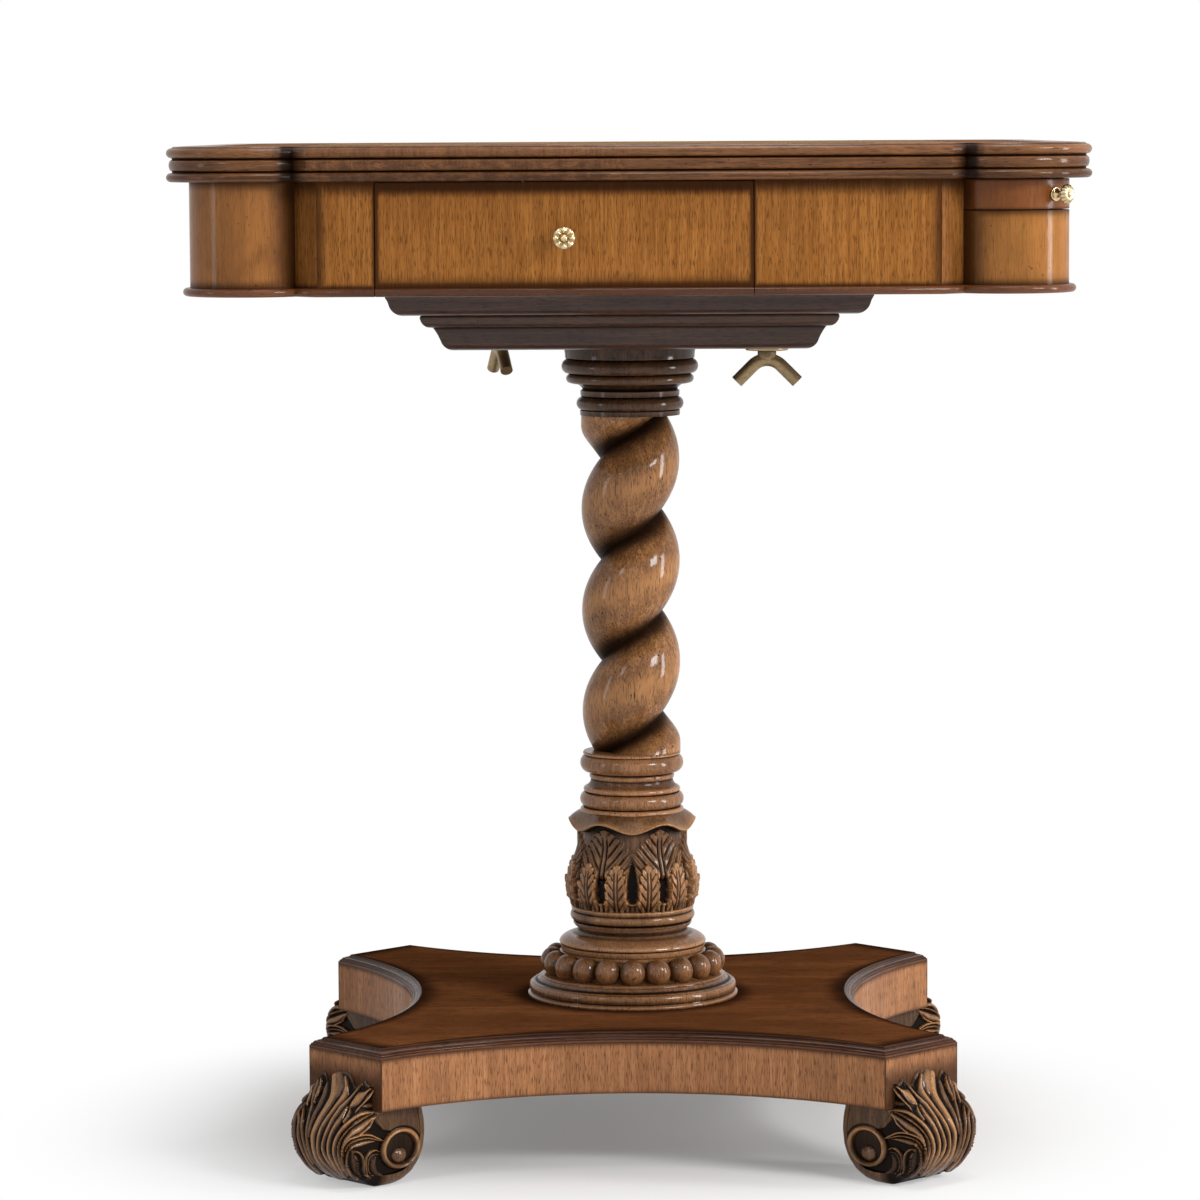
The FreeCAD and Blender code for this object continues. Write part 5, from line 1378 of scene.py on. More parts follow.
@dataclass
class CarvedVase:
    """The vase with six large and twelve small acanthus leaves under a wavy lip."""

    around: int = 600
    rows: int = 190
    radius: float = 47.5
    foot: float = 174.0
    top: float = 240.0
    lip_inner: float = 38.4
    lip_top: float = 248.4

    def build(self) -> None:
        """Make the vase."""
        angles = even_turns(self.around)
        foot = [(0.0, 160.0), (45.8, 160.0), (45.9, 160.6), (46.6, 163.2, -0.2), (47.3, 163.8),
                (47.2, 169.4, 0.35), (46.4, 169.7), (47.0, 170.4), (47.2, 173.2, 0.15), (45.6, self.foot)]
        shape = Shape().lathe(foot, self.around, 2.0, 6)
        level = np.linspace(self.foot, self.top, self.rows)[:, None] + 0 * angles[None, :]
        reach, relief = self.carving(np.degrees(angles)[None, :] + 90.0 + 0 * level, level)
        shape.grid(polar(reach, angles, level), relief=relief, wrap=True)
        self.lip(shape, angles)
        shape.build("acanthus_vase", CARVING, TABLE, "carved_vase_wood", "carved_vase", crease=55.0)

    def carving(self, degrees: np.ndarray, z: np.ndarray) -> tuple[np.ndarray, np.ndarray]:
        """Return radius and relief.

        Args:
            degrees: angle from the front.
            z: level.
        Returns:
            The radius in millimetres and the relief.
        """
        ground = np.interp(z, [174, 180, 187, 195, 203, 210, 216, 222, 230, 240],
                           [45.2, 46.2, 46.9, 46.8, 45.4, 43.4, 41.6, 40.6, 40.6, 41.4])
        mm = math.radians(1) * self.radius
        large = near(degrees, 60, 30) * mm
        small = near(degrees, 30, 15) * mm
        loop = near(degrees, 30, 0) * mm
        fan = z - 1.15 * np.abs(large)
        scallop = 1.0 + 0.17 * np.cos(2 * math.pi * (fan - 190.0) / 8.6)
        width = np.interp(z, [174, 190, 200, 207, 214, 220, 226, 231, 235, 237.2],
                          [8, 12, 18, 22.5, 24.5, 21.5, 16.5, 11, 6, 0.0]) * scallop
        inside = smoothstep(width - np.abs(large), -0.2, 1.3)
        swell = np.interp(z, [174, 205, 213, 220, 237], [2.8, 3.0, 2.6, 1.9, 2.2])
        vein = notch(near(fan, 8.6, 185.7), 1.25) * smoothstep(np.abs(large), 2.2, 4.5)
        half_vein = notch(near(fan, 8.6, 190.0), 0.8) * smoothstep(np.abs(large), 5.0, 9.0) * 0.55
        rib = notch(np.abs(large) - 2.0, 0.75) * smoothstep(z, 234.0, 226.0)
        leaf = inside * (swell - 1.9 * vein - 1.2 * half_vein - 1.8 * rib
                         + 0.5 * notch(width - np.abs(large) - 1.4, 0.9))
        spray = z - 1.6 * np.abs(small)
        lobes = 1.0 + 0.16 * np.cos(2 * math.pi * (spray - 176.0) / 7.8)
        narrow = np.interp(z, [174, 178, 184, 190, 197, 203, 207.5, 210, 211.2],
                           [5.0, 7.8, 9.4, 9.0, 7.4, 6.4, 4.6, 2.6, 0.0]) * lobes
        within = smoothstep(narrow - np.abs(small), -0.2, 1.1)
        ray = notch(near(spray, 7.8, 172.1), 0.95) * smoothstep(np.abs(small), 1.4, 2.8)
        stalk = notch(np.abs(small) - 1.25, 0.55) * smoothstep(z, 207.0, 203.0)
        bloom = np.interp(z, [174, 182, 194, 204, 211], [2.0, 3.4, 4.3, 4.5, 4.6])
        frond = within * (bloom - 1.5 * ray - 1.5 * stalk + 0.5 * notch(narrow - np.abs(small) - 1.1, 0.8))
        height = np.where(within > 0.02, np.maximum(frond, leaf * (1 - within)), leaf)
        at_gap = np.abs(near(degrees, 60, 0)) < 15
        ceiling = np.where(at_gap, 213.0, 200.0)
        side = np.interp(z, [180, 190, 200, 213], [4.6, 4.6, 4.0, 1.4])
        below = np.hypot(loop, np.minimum(z - 185.0, 0.0))
        rim = np.where(z < 185.0, below - 4.6, np.abs(loop) - side)
        hollow = smoothstep(-rim, -0.3, 1.3) * smoothstep(z, ceiling + 3.0, ceiling - 3.0)
        height = height * (1 - hollow) - 0.9 * hollow
        edge = notch(rim - 0.8, 0.9) * smoothstep(z, 208.0, 198.0) * smoothstep(z, 177.5, 180.0)
        height = height + 1.3 * edge
        stems = notch(near(degrees, 5.0, 2.5) * mm, 0.9) * smoothstep(z, 182.0, 176.0) * (1 - hollow)
        height = height - 0.8 * stems
        shown = inside * (1 - within)
        # darker in veins, ribs, stalks and hollows as glazing with painted shade; the leaf edges lighter as
        # wear
        relief = 0.44 + 0.10 * height - 0.34 * np.maximum(vein * shown, half_vein * shown)
        relief = relief - 0.42 * rib * shown - 0.36 * ray * within - 0.36 * stalk * within
        relief = relief - 0.35 * hollow + 0.35 * edge - 0.2 * stems
        relief = relief + 0.25 * notch(narrow - np.abs(small) - 0.9, 0.8) * within
        relief = relief + 0.25 * notch(width - np.abs(large) - 1.1, 0.9) * shown
        # painted shadow on the ground under the lip
        relief = relief - 0.45 * smoothstep(z, 228.0, 238.0) * (1 - inside)
        return ground + height, np.clip(relief, 0, 1)

    def lip(self, shape: Shape, angles: np.ndarray) -> None:
        """Add the wavy lip, its rolled edge and its underside."""
        wave = np.cos(6 * (angles + math.pi / 2))
        edge_level, edge_reach = 238.3 - 3.3 * wave, 47.9 - 0.7 * wave
        rows, relief = [], []
        # the top, darker towards the inner rim under the collar as painted shade
        for share in np.linspace(0, 1, 22):
            rows.append((self.lip_inner + (edge_reach - self.lip_inner) * share ** 0.9,
                         self.lip_top + (edge_level + 0.7 - self.lip_top) * share ** 1.5))
            relief.append(0.62 + 0.2 * share ** 6 - 0.5 * (1 - share) ** 6)
        for turn in np.radians([60, 20, -20, -60, -100]):
            rows.append((edge_reach + 0.75 * math.cos(turn), edge_level + 0.75 * math.sin(turn)))
            relief.append(1.0)
        # painted shade under the rolled edge
        for share in (0.15, 0.4, 0.7, 1.0):
            rows.append((edge_reach - 0.4 + (40.6 - edge_reach) * share, edge_level - 0.7 - 1.6 * share))
            relief.append(0.15)
        net = np.stack([polar(reach, angles, level) for reach, level in rows])
        shape.grid(net, relief=np.repeat(np.array(relief)[:, None], len(angles), 1), wrap=True)


# ---------------------------------------------------------------- plinth

@dataclass
class Plinth:
    """The hollow-sided board, its curved aprons and corner blocks."""

    plan: PlinthPlan
    apron_foot: float = 58.5
    apron_top: float = 96.5
    board_top: float = 104.0
    apron_thick: float = 18.0
    block_reach: float = 150.0
    edge: float = 7.6
    heart: float = 70.0
    ring: float = 81.0

    def build(self) -> None:
        """Make the plinth."""
        self.board()
        x = self.block_reach
        for name, quarter in zip(("front", "right", "back", "left"), QUARTERS):
            outer = self.plan.side(0.0, -x, x, 61)
            inner = self.plan.side(self.apron_thick, -x, x, 61)[::-1]
            shape = self.wall(np.vstack([outer, inner])).moved(about_z(quarter))
            shape.build(name + "_hollow_apron", PLINTH_FACE, TABLE, "plinth_face_veneer", name + "_apron",
                        crease=40.0)
        short, long = self.plan.short, self.plan.long
        front = self.plan.side(0.0, x, short, 9)
        right = turned(self.plan.side(0.0, -short, -x, 9), 90)
        cant = np.linspace((short, -long), (long, -short), 9)
        plan = np.vstack([front, cant[1:-1], right, [[x, -x]]])
        block, corners = self.sharpened(plan, (len(front) - 1, len(front) + len(cant) - 2))
        shape = Shape()
        for _ in QUARTERS:
            shape.moved(about_z(90)).merge(self.wall(block, corners))
        shape.build("corner_block_faces", PLINTH_FACE, TABLE, "plinth_face_veneer", "corner_blocks",
                    crease=30.0)

    @staticmethod
    def sharpened(plan: np.ndarray, corners: Sequence[int]) -> tuple[np.ndarray, list[int]]:
        """Add points close beside a plan's corners and return it with the corners' new places."""
        points, places = [], []
        for index, point in enumerate(plan):
            if index not in corners:
                points.append(point)
                continue
            before, after = ((other - point) / np.linalg.norm(other - point)
                             for other in (plan[index - 1], plan[index + 1]))
            points += [point + before * gap for gap in (2.4, 1.2, 0.5)]
            places.append(len(points))
            points += [point] + [point + after * gap for gap in (0.5, 1.2, 2.4)]
        return np.array(points), places

    def wall(self, plan: np.ndarray, corners: Sequence[int] = ()) -> Shape:
        """Stand a plan up, darkened along foot, top and its corners, with painted shade on the corner faces.
        """
        levels = self.apron_foot + (self.apron_top - self.apron_foot) * eased(13)
        net = np.stack([at_level(plan, level) for level in levels])
        # dark band along the foot and a slightly wider one under the board: glazing with painted shade
        gap = np.minimum(levels - self.apron_foot, (self.apron_top - levels) * 0.8)[:, None]
        relief = 0.5 * smoothstep(gap, -2.0, 4.0) + 0 * net[:, :, 0]
        along = lengths(plan)
        for index in corners:
            relief = np.minimum(relief, 0.5 * smoothstep(np.abs(along - along[index]), 0.1, 1.5)[None, :])
        if corners:
            cant = slice(corners[0], corners[1] + 1)
            # painted shade over the whole corner face, darker below the leaf tops as painted shadow of the
            # feet
            tone = 0.10 + 0.26 * smoothstep(levels, 77.0, 93.0)[:, None]
            relief[:, cant] = np.minimum(relief[:, cant], tone)
        run = along[None, :] + 0 * relief
        grain = np.stack([run, 0 * run, net[:, :, 2]], -1)
        return Shape().grid(net, grain, relief, wrap=True).cap(net[0]).cap(net[-1])

    def board(self) -> None:
        """Make the moulded board over the aprons."""
        edge = bent([(0.0, self.apron_top), (0.0, 98.4), (1.0, 99.9, 0.3), (1.7, 100.0), (2.0, 100.5),
                     (2.6, 101.5, 0.3), (3.9, 101.9), (4.4, 101.9), (4.7, 102.3),
                     (self.edge, self.board_top, 0.35)], 6)
        flat = self.plan.whole(self.edge)
        net = np.stack([at_level(self.plan.whole(inset), level) for inset, level in edge])
        along = lengths(net[-1])[None, :] + np.zeros((len(edge), 1))
        grain = np.stack([net[:, :, 2], 0 * along, along], -1)
        tones = hollows(np.stack([-edge[:, 0], edge[:, 1]], 1), 1.2)
        relief = np.repeat(tones[:, None], len(flat), 1)
        rim = Shape().grid(net, grain, relief, wrap=True).cap(net[0], grain[0])
        rim.build("plinth_board_edge", PLINTH_EDGE, TABLE, "plinth_top_walnut", "plinth_top_board",
                  crease=38.0)
        angle = np.arctan2(flat[:, 1], flat[:, 0])
        heart = self.heart * np.stack([np.cos(angle), np.sin(angle)], 1)
        far = np.linalg.norm(flat - heart, axis=1)
        rings, tones = [], []
        for share in 1 - np.linspace(1, 0, 40) ** 1.2:
            rings.append(at_level(flat + (heart - flat) * share, self.board_top))
            # darker towards the moulded edge, and painted shade around the column's base ring
            from_ring = far * (1 - share) + self.heart - self.ring
            tones.append(0.5 * np.minimum(smoothstep(far * share, -6.0, 26.0),
                                          smoothstep(from_ring, -6.0, 24.0)))
        net = np.stack(rings)
        grain = np.roll(net, 2, -1)
        shape = Shape().grid(net, grain, np.array(tones), wrap=True).cap(net[-1], grain[-1])
        shape.build("plinth_board", PLINTH_TOP, TABLE, "plinth_top_walnut", "plinth_top_board", crease=38.0)


@dataclass(frozen=True)
class Rib:
    """A carved strand, given by its middle line (out, up, half width)."""

    path: tuple[Place, ...]
    rise: float = 2.6
    tone: float = 0.95

    def smooth(self, pieces: int = 3) -> np.ndarray:
        """Return the middle line with evenly bent stretches between its points."""
        knots = np.array(self.path)
        knots = np.vstack([2 * knots[0] - knots[1], knots, 2 * knots[-1] - knots[-2]])
        points = []
        for a, b, c, d in zip(knots, knots[1:], knots[2:], knots[3:]):
            for step in range(pieces):
                t = step / pieces
                turn = 2 * a - 5 * b + 4 * c - d + t * (3 * (b - c) + d - a)
                points.append(b + 0.5 * t * (c - a + t * turn))
        return np.array(points + [knots[-2]])

    def crest(self, x: np.ndarray, z: np.ndarray) -> np.ndarray:
        """Return 1 on the strand's middle line, falling to 0 along a quarter ellipse at its edges."""
        line = self.smooth()
        reach = float(line[:, 2].max())
        low, high = line.min(0) - reach, line.max(0) + reach
        near_by = (x > low[0]) & (x < high[0]) & (z > low[1]) & (z < high[1])
        px, pz = x[near_by], z[near_by]
        best = np.zeros(px.shape)
        for start, end in zip(line, line[1:]):
            way = end - start
            ahead = (px - start[0]) * way[0] + (pz - start[1]) * way[1]
            share = np.clip(ahead / (way[0] ** 2 + way[1] ** 2), 0, 1)
            away = np.hypot(px - start[0] - share * way[0], pz - start[1] - share * way[1])
            best = np.maximum(best, 1 - (away / np.maximum(start[2] + share * way[2], 0.05)) ** 2)
        whole = np.zeros(x.shape)
        whole[near_by] = np.sqrt(np.clip(best, 0, 1))
        return whole


RIBS = (
    Rib(((61.5, 92.5, 0.5), (62.3, 86, 1.1), (64.3, 80, 1.2), (67, 74.5, 0.8))),
    Rib(((68, 76, 0.5), (76, 70.4, 1.4), (79, 64, 1.5), (80.2, 57, 1.5), (79.4, 49.5, 1.4), (76.2, 39.8, 1.4),
         (70.4, 31.2, 1.5), (61.5, 22.8, 1.6), (50, 15.6, 1.4)), 2.4, 0.7),
    Rib(((76, 74, 0.4), (75, 70, 1.5), (75, 63.6, 1.6), (75.9, 57.3, 1.6), (75.8, 51, 1.6), (73.6, 44, 1.5),
         (69.4, 35.8, 1.5), (63.6, 27.8, 1.6), (54, 19.6, 1.5))),
    Rib(((70, 72.5, 0.5), (70.9, 67.5, 1.3), (72.1, 62, 1.4), (72.4, 56.5, 1.3), (71.7, 50, 1.2),
         (69.6, 43, 1.1), (66.4, 35.6, 1.1), (61, 28, 1.0))),
    Rib(((56.1, 95.4, 0.4), (56.6, 91, 1.5), (59.6, 85.2, 1.6), (61.2, 78.5, 1.5), (61.9, 74, 1.4),
         (63.8, 69, 1.4), (66, 62, 1.4), (67.9, 55, 1.5), (68, 48, 1.6), (66, 40, 1.6), (62, 32, 1.5),
         (55.5, 24.6, 1.4), (46, 17.6, 1.3)), 2.2, 0.72),
    Rib(((52.7, 95.6, 0.4), (53.5, 90.4, 1.2), (56, 84.6, 1.1), (58.4, 79.5, 0.9), (59.8, 75, 0.6))),
    Rib(((46.8, 92, 0.6), (48.8, 86.5, 2.6), (50, 80.6, 2.7), (54.4, 72.6, 2.3), (59.2, 67, 2.0),
         (62.8, 61.2, 1.7), (65.1, 55, 1.5), (66, 49.5, 0.7)), 2.1, 0.6),
    Rib(((39.4, 93.2, 3.8), (39.6, 84.5, 4.3), (41.4, 76.6, 3.8), (46.6, 70, 3.4), (53, 63.4, 3.2),
         (58.6, 56.2, 3.0), (61.6, 50.4, 2.6), (61.9, 45, 2.4), (60.7, 38.2, 2.4), (57.3, 30.8, 2.6),
         (51.2, 24, 2.8), (42.6, 17.4, 2.4), (32, 11, 1.4))),
    Rib(((33, 88.5, 0.9), (33.8, 82, 1.1), (35.4, 77.4, 0.8)), 1.8, 0.7),
    Rib(((28.6, 89.5, 1.8), (27.9, 83, 2.4), (31.6, 75.6, 2.2), (38, 69, 2.0), (44.2, 63.4, 1.9),
         (49.6, 58.4, 1.9), (53.6, 53.4, 1.8), (56, 48, 1.6), (56.9, 42, 1.5), (56.3, 36.2, 1.5),
         (53.6, 30.8, 1.5), (48.4, 25.2, 1.6), (40.6, 18.8, 1.6), (32.5, 13, 1.2))),
    Rib(((12.8, 84.8, 0.3), (19, 81.4, 1.5), (25.2, 75.8, 1.9), (31.2, 69.4, 1.9), (36.6, 64.2, 1.8),
         (42, 59.2, 1.8), (46.6, 52.8, 1.8), (50, 47, 1.7), (52.2, 41, 1.6), (51.3, 35.4, 1.6),
         (47.6, 29.2, 1.7), (40.6, 21.8, 1.7), (32.2, 14.4, 1.2))),
    Rib(((29, 66, 0.4), (34, 61, 0.9), (39, 56.6, 1.0), (42.8, 52, 0.8), (45.6, 47.4, 0.5)), 2.0, 0.7),
    Rib(((26.8, 66.4, 0.4), (32.6, 59.8, 1.4), (37.4, 55.6, 1.9), (41.6, 51.4, 1.9), (45, 45.6, 1.9),
         (46.8, 39.4, 1.8), (46.1, 33, 1.8), (43, 27.4, 1.8), (38.2, 20.8, 1.8), (30.8, 13.6, 1.2))),
    Rib(((-3.8, 56.4, 0.4), (0.5, 57.5, 1.0), (8, 58.1, 1.5), (16, 57.4, 2.0), (24, 54.9, 2.2),
         (31, 51.4, 2.3), (37, 46.2, 2.2), (40.6, 40, 2.1), (41.2, 33, 1.9), (38.3, 26, 1.8),
         (34.2, 19.4, 1.6), (28.6, 12, 1.1))),
    Rib(((1, 56.2, 0.4), (7, 55.4, 0.7), (12, 54, 0.8), (18.5, 51.6, 0.9), (25.7, 48.5, 1.0), (32.5, 44, 1.1),
         (36.3, 38.5, 1.1), (36.9, 32.3, 1.1), (35, 25.8, 1.1), (31.4, 18.6, 0.9))),
    Rib(((-2.6, 55.2, 0.3), (3, 52.6, 1.5), (8, 50, 2.5), (14, 47.3, 3.1), (21, 45.2, 2.7), (27, 42.2, 2.0),
         (31.4, 38.2, 1.2), (33.6, 33.4, 0.6)), 2.5, 0.85),
    Rib(((-3.9, 56.2, 0.5), (1.2, 52.1, 0.8), (4.3, 48, 0.9), (9.2, 45.1, 0.9), (14.4, 42.9, 0.9)), 3.1, 1.0),
    Rib(((-8.8, 34.9, 0.5), (-5, 36.9, 0.9), (-1.6, 38.6, 1.0), (2.8, 40.7, 1.0), (8, 41.9, 1.0),
         (14, 42.2, 1.0), (22.8, 41.2, 1.0), (28.9, 38.4, 1.1), (32.2, 34.2, 1.1), (33.1, 28.1, 1.1),
         (31, 20.6, 1.0), (27, 14, 0.8)), 2.9, 1.0),
    Rib(((-6, 35.5, 0.3), (-1, 37.1, 0.6), (4, 38.7, 0.7), (10.6, 39.5, 0.7), (19.7, 38.8, 0.7),
         (25.8, 36.6, 0.7), (29.4, 32.4, 0.7))),
    Rib(((-2, 35.6, 0.3), (4, 36.1, 1.2), (11, 35.8, 1.9), (17, 35.3, 1.7), (21, 35, 0.8)), 2.0, 0.8),
    Rib(((22.4, 34.9, 1.6), (23, 34.4, 1.6)), 3.3, 1.0),
    Rib(((24.4, 33.4, 0.8), (27.4, 29.2, 1.1), (28.7, 22.9, 1.2), (26.6, 16.7, 1.2), (21.4, 12, 1.2),
         (17.4, 9.8, 0.9)), 2.8),
    Rib(((22.4, 31.4, 0.6), (16.4, 30.4, 0.9), (12, 26.7, 1.0), (10.4, 21.9, 1.0), (10.4, 16.4, 0.9),
         (9.4, 12.2, 0.8), (6.6, 9, 0.7)), 2.8),
    Rib(((22, 29.6, 0.8), (20, 22, 4.4), (19.6, 17, 3.6), (16, 12, 1.4)), 1.1, 0.3),
    Rib(((20.8, 29.9, 0.3), (17, 25.7, 0.5), (15.8, 20.9, 0.5), (16.3, 15.9, 0.5), (14.4, 11, 0.4)), 1.9,
         0.6),
    Rib(((1.6, 29.2, 1.1), (2.0, 29.0, 1.1)), 3.3, 1.0),
    Rib(((-4.8, 27.4, 0.4), (-1, 29.2, 0.7), (3, 28.6, 0.9), (6.6, 26.4, 0.9), (8.4, 23, 0.9),
         (8.5, 17.9, 0.9), (7.2, 12.4, 0.8), (4, 9, 0.8)), 2.8),
    Rib(((-4, 25.9, 0.3), (1.5, 25.7, 0.5), (5.1, 22.8, 0.6), (6.2, 17.6, 0.6), (4.5, 12.9, 0.6),
         (0.6, 9.8, 0.5)), 2.2),
    Rib(((-2, 24, 0.6), (0.4, 18, 3.4), (-2, 12.4, 2.6), (-8, 9.4, 1.0)), 1.3, 0.4),
    Rib(((3, 80, 0.8), (10.5, 77.6, 3.3), (16.6, 73, 4.2), (21, 69, 3.4), (24.2, 66, 0.6))),
    Rib(((-0.5, 79.4, 0.5), (4, 72.8, 1.3), (10.2, 67.5, 1.4), (16.4, 62.8, 1.4), (19.2, 60.2, 0.5))),
    Rib(((24.8, 65.6, 0.5), (25.4, 62.6, 0.9), (28.2, 59, 1.0), (31.6, 55.8, 0.8)), 2.0, 1.0),
    Rib(((36, 93, 5.0), (35.6, 86, 6.2), (38, 79.5, 4.4), (42, 74.5, 1.5)), 1.5, 0.75),
    Rib(((-33.2, 23.6, 0.6), (-32, 20.2, 0.9), (-28.8, 16.4, 1.0), (-22.6, 14, 0.9), (-16.8, 15, 0.6)), 2.6,
         0.9),
    Rib(((-3, 62.5, 2.2), (4, 63.3, 2.6), (10, 63.6, 1.4)), 1.4, 0.35),
)


@dataclass
class ScrollFoot:
    """A foot like a curling acanthus leaf with a volute on each cheek.

    In its own place the diagonal runs along +X, with x = 0 on the plinth's corner face. Its strands are
    drawn on the plane of one cheek and carried over the toe along a slant.
    """

    name: str
    degrees: float
    cant: float
    hand: int = 1
    half: float = 32.0
    eye: tuple[float, float] = (-25.9, 27.0)
    slant: tuple[float, float] = (0.885, 0.28)
    ground: float = -2.6
    seat: Corner = (0.6, 58.4)
    leaf_foot: float = 62.0

    def spine(self) -> np.ndarray:
        """Return the outer line from the leaf's top round the toe, the pad and the heel to the seat."""
        return np.array([(0.4, 84.0), (2.4, 84.6), (5.4, 82.4), (9.5, 73.0), (13.5, 66.0), (21.0, 58.0),
                         (28.0, 50.5), (30.4, 43.0), (29.8, 32.7), (26.3, 22.7), (18.2, 12.0), (8.0, 4.0),
                         (-6.0, 0.2), (-20.0, 0.0), (-30.0, 1.4), (-40.0, 6.2), (-48.0, 14.5), (-52.6, 24.0),
                         (-54.4, 36.0), (-53.6, 46.0), (-50.6, 58.4)])

    def build(self) -> None:
        """Make the foot."""
        spine = self.spine()
        along = lengths(spine)
        places = np.linspace(0, along[-1], 250)
        spine = np.stack([np.interp(places, along, spine[:, axis]) for axis in (0, 1)], 1)
        for _ in range(12):
            spine[1:-1] = (spine[:-2] + 2 * spine[1:-1] + spine[2:]) / 4
        way = np.gradient(spine, axis=0)
        out = np.stack([-way[:, 1], way[:, 0]], 1) / np.linalg.norm(way, axis=1, keepdims=True)
        round_by = np.interp(places, [0, 10, 34, 60, 400], [1.6, 2.6, 6.0, 9.0, 9.0])
        inner = spine - out * round_by[:, None]
        inner[:, 0] = np.maximum(inner[:, 0], np.where(spine[:, 1] > 62, 0.6, -60.0))
        inner[:, 1] = np.clip(inner[:, 1], 0.8, 84.0)
        shape = Shape()
        self.shell(shape, spine, out, inner, round_by, places)
        for side in (-1, 1):
            self.cheek(shape, inner, places, side)
        turn = about_z(self.degrees) @ Matrix.Translation((self.cant, 0, 0))
        shape.moved(turn @ Matrix.Diagonal((1, self.hand, 1, 1)))
        shape.build("scroll_" + self.name, FOOT, TABLE, "carved_foot_wood", "foot_" + self.name, crease=60.0)

    def leaf_top(self, w: np.ndarray) -> np.ndarray:
        """Return how high the leaf stands across its width."""
        places = [-32, -28, -25, -22.5, -20, -17.5, -15, -11, -6, 1, 6, 9.5, 12, 15, 19, 23, 25, 28, 32]
        levels = [70, 75, 79, 81.4, 80, 74.5, 76.5, 81.5, 84, 84.4, 83.4, 79.5, 74.5, 74, 77, 80.6, 78, 77,
                  78.5]
        return np.interp(w, places, levels)

    def carving(self, x: np.ndarray, w: np.ndarray, z: np.ndarray) -> tuple[np.ndarray, np.ndarray]:
        """Return height and relief at points of the plain shape.

        Args:
            x: how far out.
            w: how far across.
            z: level.
        Returns:
            Height off the plain shape in millimetres, and relief.
        """
        seen = self.drawn(x + self.slant[0] * (self.half - w), z + self.slant[1] * (self.half - w))
        span = self.half - np.abs(w)
        mirrored = self.drawn(x + self.slant[0] * span, z + self.slant[1] * span)
        far = smoothstep(w, -24.0, -29.0)
        height, relief = (one * (1 - far) + other * far for one, other in zip(seen, mirrored))
        return height, relief

    def drawn(self, x: np.ndarray, z: np.ndarray) -> tuple[np.ndarray, np.ndarray]:
        """Return height and relief on the cheek's plane."""
        above = z - np.interp(x, [-60, -46, -30, -16, -9, -1.5, 0.5], [0, 12, 20, 40.5, 42.5, 50, 62])
        plain = smoothstep(above, -0.6, 1.4) * smoothstep(z, 60.5, 58.5)
        height = self.ground * (1 - plain) - 0.4 * plain
        # the ground between the strands dark, as glazing with painted shade
        relief = 0.06 * (1 - plain) + 0.36 * plain
        for rib in RIBS:
            crest = rib.crest(x, z)
            height = np.maximum(height, np.where(crest > 0, self.ground + rib.rise * crest, self.ground))
            relief = np.maximum(relief, rib.tone * crest ** 2)
        across, up = x - self.eye[0], z - self.eye[1]
        ring = np.hypot(across / 16.9, up / 13.5)
        inside = smoothstep(ring, 1.0, 0.94)
        height = height * (1 - inside) + self.ground * inside
        # the volute's eye darkened as a hollow: glazing with painted shade
        relief = relief * (1 - inside) + 0.16 * inside
        coil = np.sqrt(np.clip(1 - ((ring - 1.0) / 0.145) ** 2, 0, 1))
        height = np.maximum(height, np.where(coil > 0, self.ground + 4.0 * coil, self.ground))
        relief = np.where(coil > 0, np.maximum(relief, coil), relief)
        # a dark line round the coil: painted shade
        relief = relief - 0.4 * notch(ring - 1.2, 0.05)
        boss = np.sqrt(np.clip(1 - (across - 0.7) ** 2 / 7.5 ** 2 - (up + 5.3) ** 2 / 5.7 ** 2, 0, 1))
        height = np.where(boss > 0, np.maximum(height, self.ground + 3.4 * boss), height)
        relief = np.where(boss > 0, 0.2 + 0.7 * boss, relief)
        # painted shade: the strands darken towards the bottom; those furthest out are a little darker too
        low = 0.6 + 0.4 * smoothstep(z, 6.0, 44.0)
        return height, np.clip(relief * low * (1 - 0.25 * smoothstep(x, 60.0, 76.0)), 0, 1)

    def shell(self, shape: Shape, spine: np.ndarray, out: np.ndarray, inner: np.ndarray, round_by: np.ndarray,
              places: np.ndarray) -> None:
        """Add the face that runs over the toe and under to the heel."""
        turn = np.linspace(0, math.pi / 2, 13)[1:]
        columns = [(-1.0, angle) for angle in turn[::-1]]
        columns += [(share, 0.0) for share in np.linspace(-1, 1, 105)]
        columns += [(1.0, angle) for angle in turn]
        half = self.half - round_by
        fade = smoothstep(places, 124.0, 112.0) * smoothstep(places, 0.0, 4.0)
        net, relief = [], []
        for share, angle in columns:
            ahead, side = math.cos(angle), np.sign(share) * math.sin(angle)
            w = share * half + side * round_by
            middle = inner + out * (ahead * round_by)[:, None] if angle else spine
            height, tone = self.carving(middle[:, 0], w, middle[:, 1])
            normal = np.stack([out[:, 0] * ahead, side + 0 * places, out[:, 1] * ahead], 1)
            seat = smoothstep(middle[:, 1], 0.2, 4.0)
            point = np.stack([middle[:, 0], w, middle[:, 1]], 1) + normal * (height * fade * seat)[:, None]
            point[:, 2] = np.maximum(self.lifted(point[:, 2], w), 0.0)
            net.append(point)
            relief.append(tone * fade + 0.42 * (1 - fade))
        net = np.stack(net, 1)
        shape.grid(net, net[:, :, (1, 0, 2)], np.stack(relief, 1))

    def lifted(self, z: np.ndarray, w: np.ndarray) -> np.ndarray:
        """Return levels with the leaf's top drawn to its tips and notches."""
        low = self.leaf_foot
        return np.where(z > low, low + (z - low) * (self.leaf_top(w) - low) / 22.4, z)

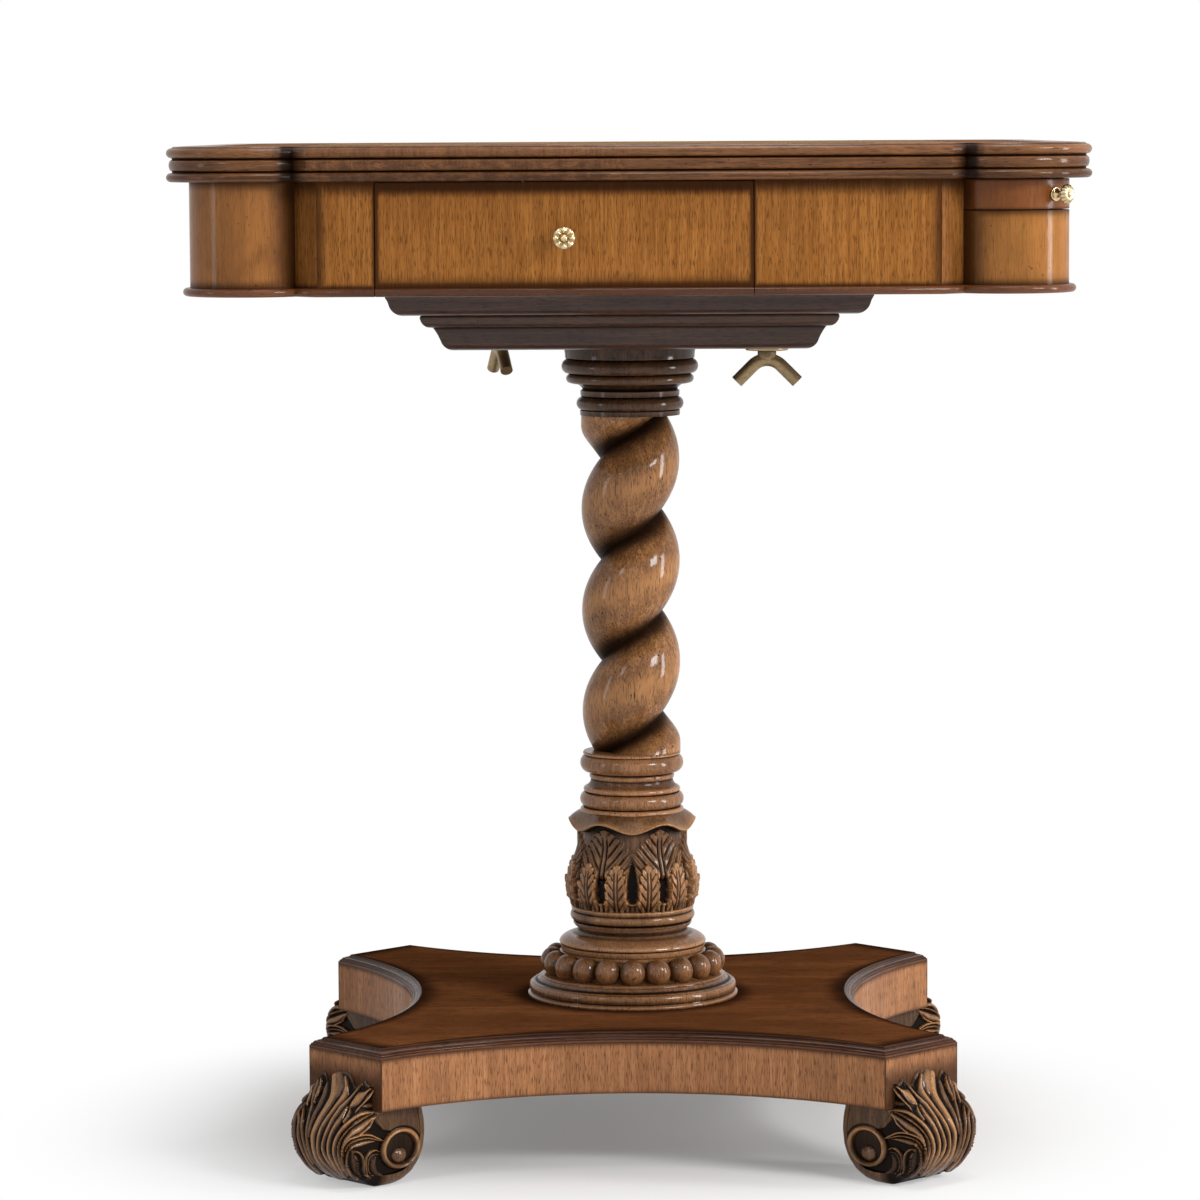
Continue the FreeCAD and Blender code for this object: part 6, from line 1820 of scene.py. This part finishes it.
    def cheek(self, shape: Shape, inner: np.ndarray, places: np.ndarray, side: int) -> None:
        """Add one cheek: the leaf's flank above the seat, and the scroll below it."""
        eye, seat = np.array(self.eye), np.array(self.seat)
        slope = (seat - eye) / np.linalg.norm(seat - eye)
        offset = (inner[:, 0] - eye[0]) * slope[1] - (inner[:, 1] - eye[1]) * slope[0]
        first = int(np.argmax((offset > 0) & (inner[:, 1] < 80)))
        heart = np.linalg.norm(seat - eye) / np.linalg.norm(inner[first] - eye)
        upper = inner[:first + 1]
        fall = np.interp(places[:first + 1], [0, places[first]], [83.0, seat[1]])
        back = np.stack([np.full(first + 1, seat[0]), fall], 1)
        shares = np.linspace(0, 1, 26)[None, :, None]
        self.dress(shape, upper[:, None, :] + (back - upper)[:, None, :] * shares, side)
        ends = np.stack([np.linspace(inner[-1, 0], seat[0], 34)[1:], np.full(33, seat[1])], 1)
        rim = np.vstack([inner[first:], ends])
        shares = np.concatenate([np.linspace(1, heart, 26), np.linspace(heart, 0.02, 74)[1:]])[None, :, None]
        self.dress(shape, eye + (rim - eye)[:, None, :] * shares, side)

    def dress(self, shape: Shape, flat: np.ndarray, side: int) -> None:
        """Carve a stretch of cheek, given as rows x columns x (out, level), and add it."""
        out, z = flat[:, :, 0], flat[:, :, 1]
        height, relief = self.carving(out, side * self.half + 0 * out, z)
        across = side * (self.half + height * smoothstep(z, 0.2, 3.0))
        net = np.stack([out, across, self.lifted(z, np.full(z.shape, side * self.half))], -1)
        shape.grid(net, net[:, :, (1, 0, 2)], relief)


# ---------------------------------------------------------------- everything

def dress_hidden() -> None:
    """Finish the frame nodes that only show when something is open or from below."""
    RAW.on_node("cross_rails", Grain.ACROSS)
    for node in ("tie_rod", "tie_rod_nuts", "foot_studs"):
        STEEL.on_node(node)
    BRASS.on_node("threaded_inserts")


def main() -> None:
    """Build the table in order."""
    logging.basicConfig(level=logging.INFO, format="%(message)s")
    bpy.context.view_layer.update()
    case, plinth = CasePlan(), PlinthPlan()
    Studio().build()
    TopBoard(case).build()
    Case(case).build()
    for name, degrees in (("front", 0.0), ("back", 180.0)):
        Drawer(name, degrees).build()
    for name, degrees in SLIDES:
        DrinksSlide(name, degrees, case).build()
    PedestalHead().build()
    WingBolt("front_right", BOLT_PLACE, -BOLT_PLACE, 0.0).build()
    WingBolt("back_left", -BOLT_PLACE, BOLT_PLACE, 105.0).build()
    Column().build()
    RopeTwist().build()
    CarvedVase().build()
    BeadRing().build()
    Plinth(plinth).build()
    for index, (name, degrees) in enumerate(CORNERS):
        ScrollFoot(name, degrees, plinth.cant(), 1 if index % 2 else -1).build()
    dress_hidden()


if __name__ == "__main__":
    main()
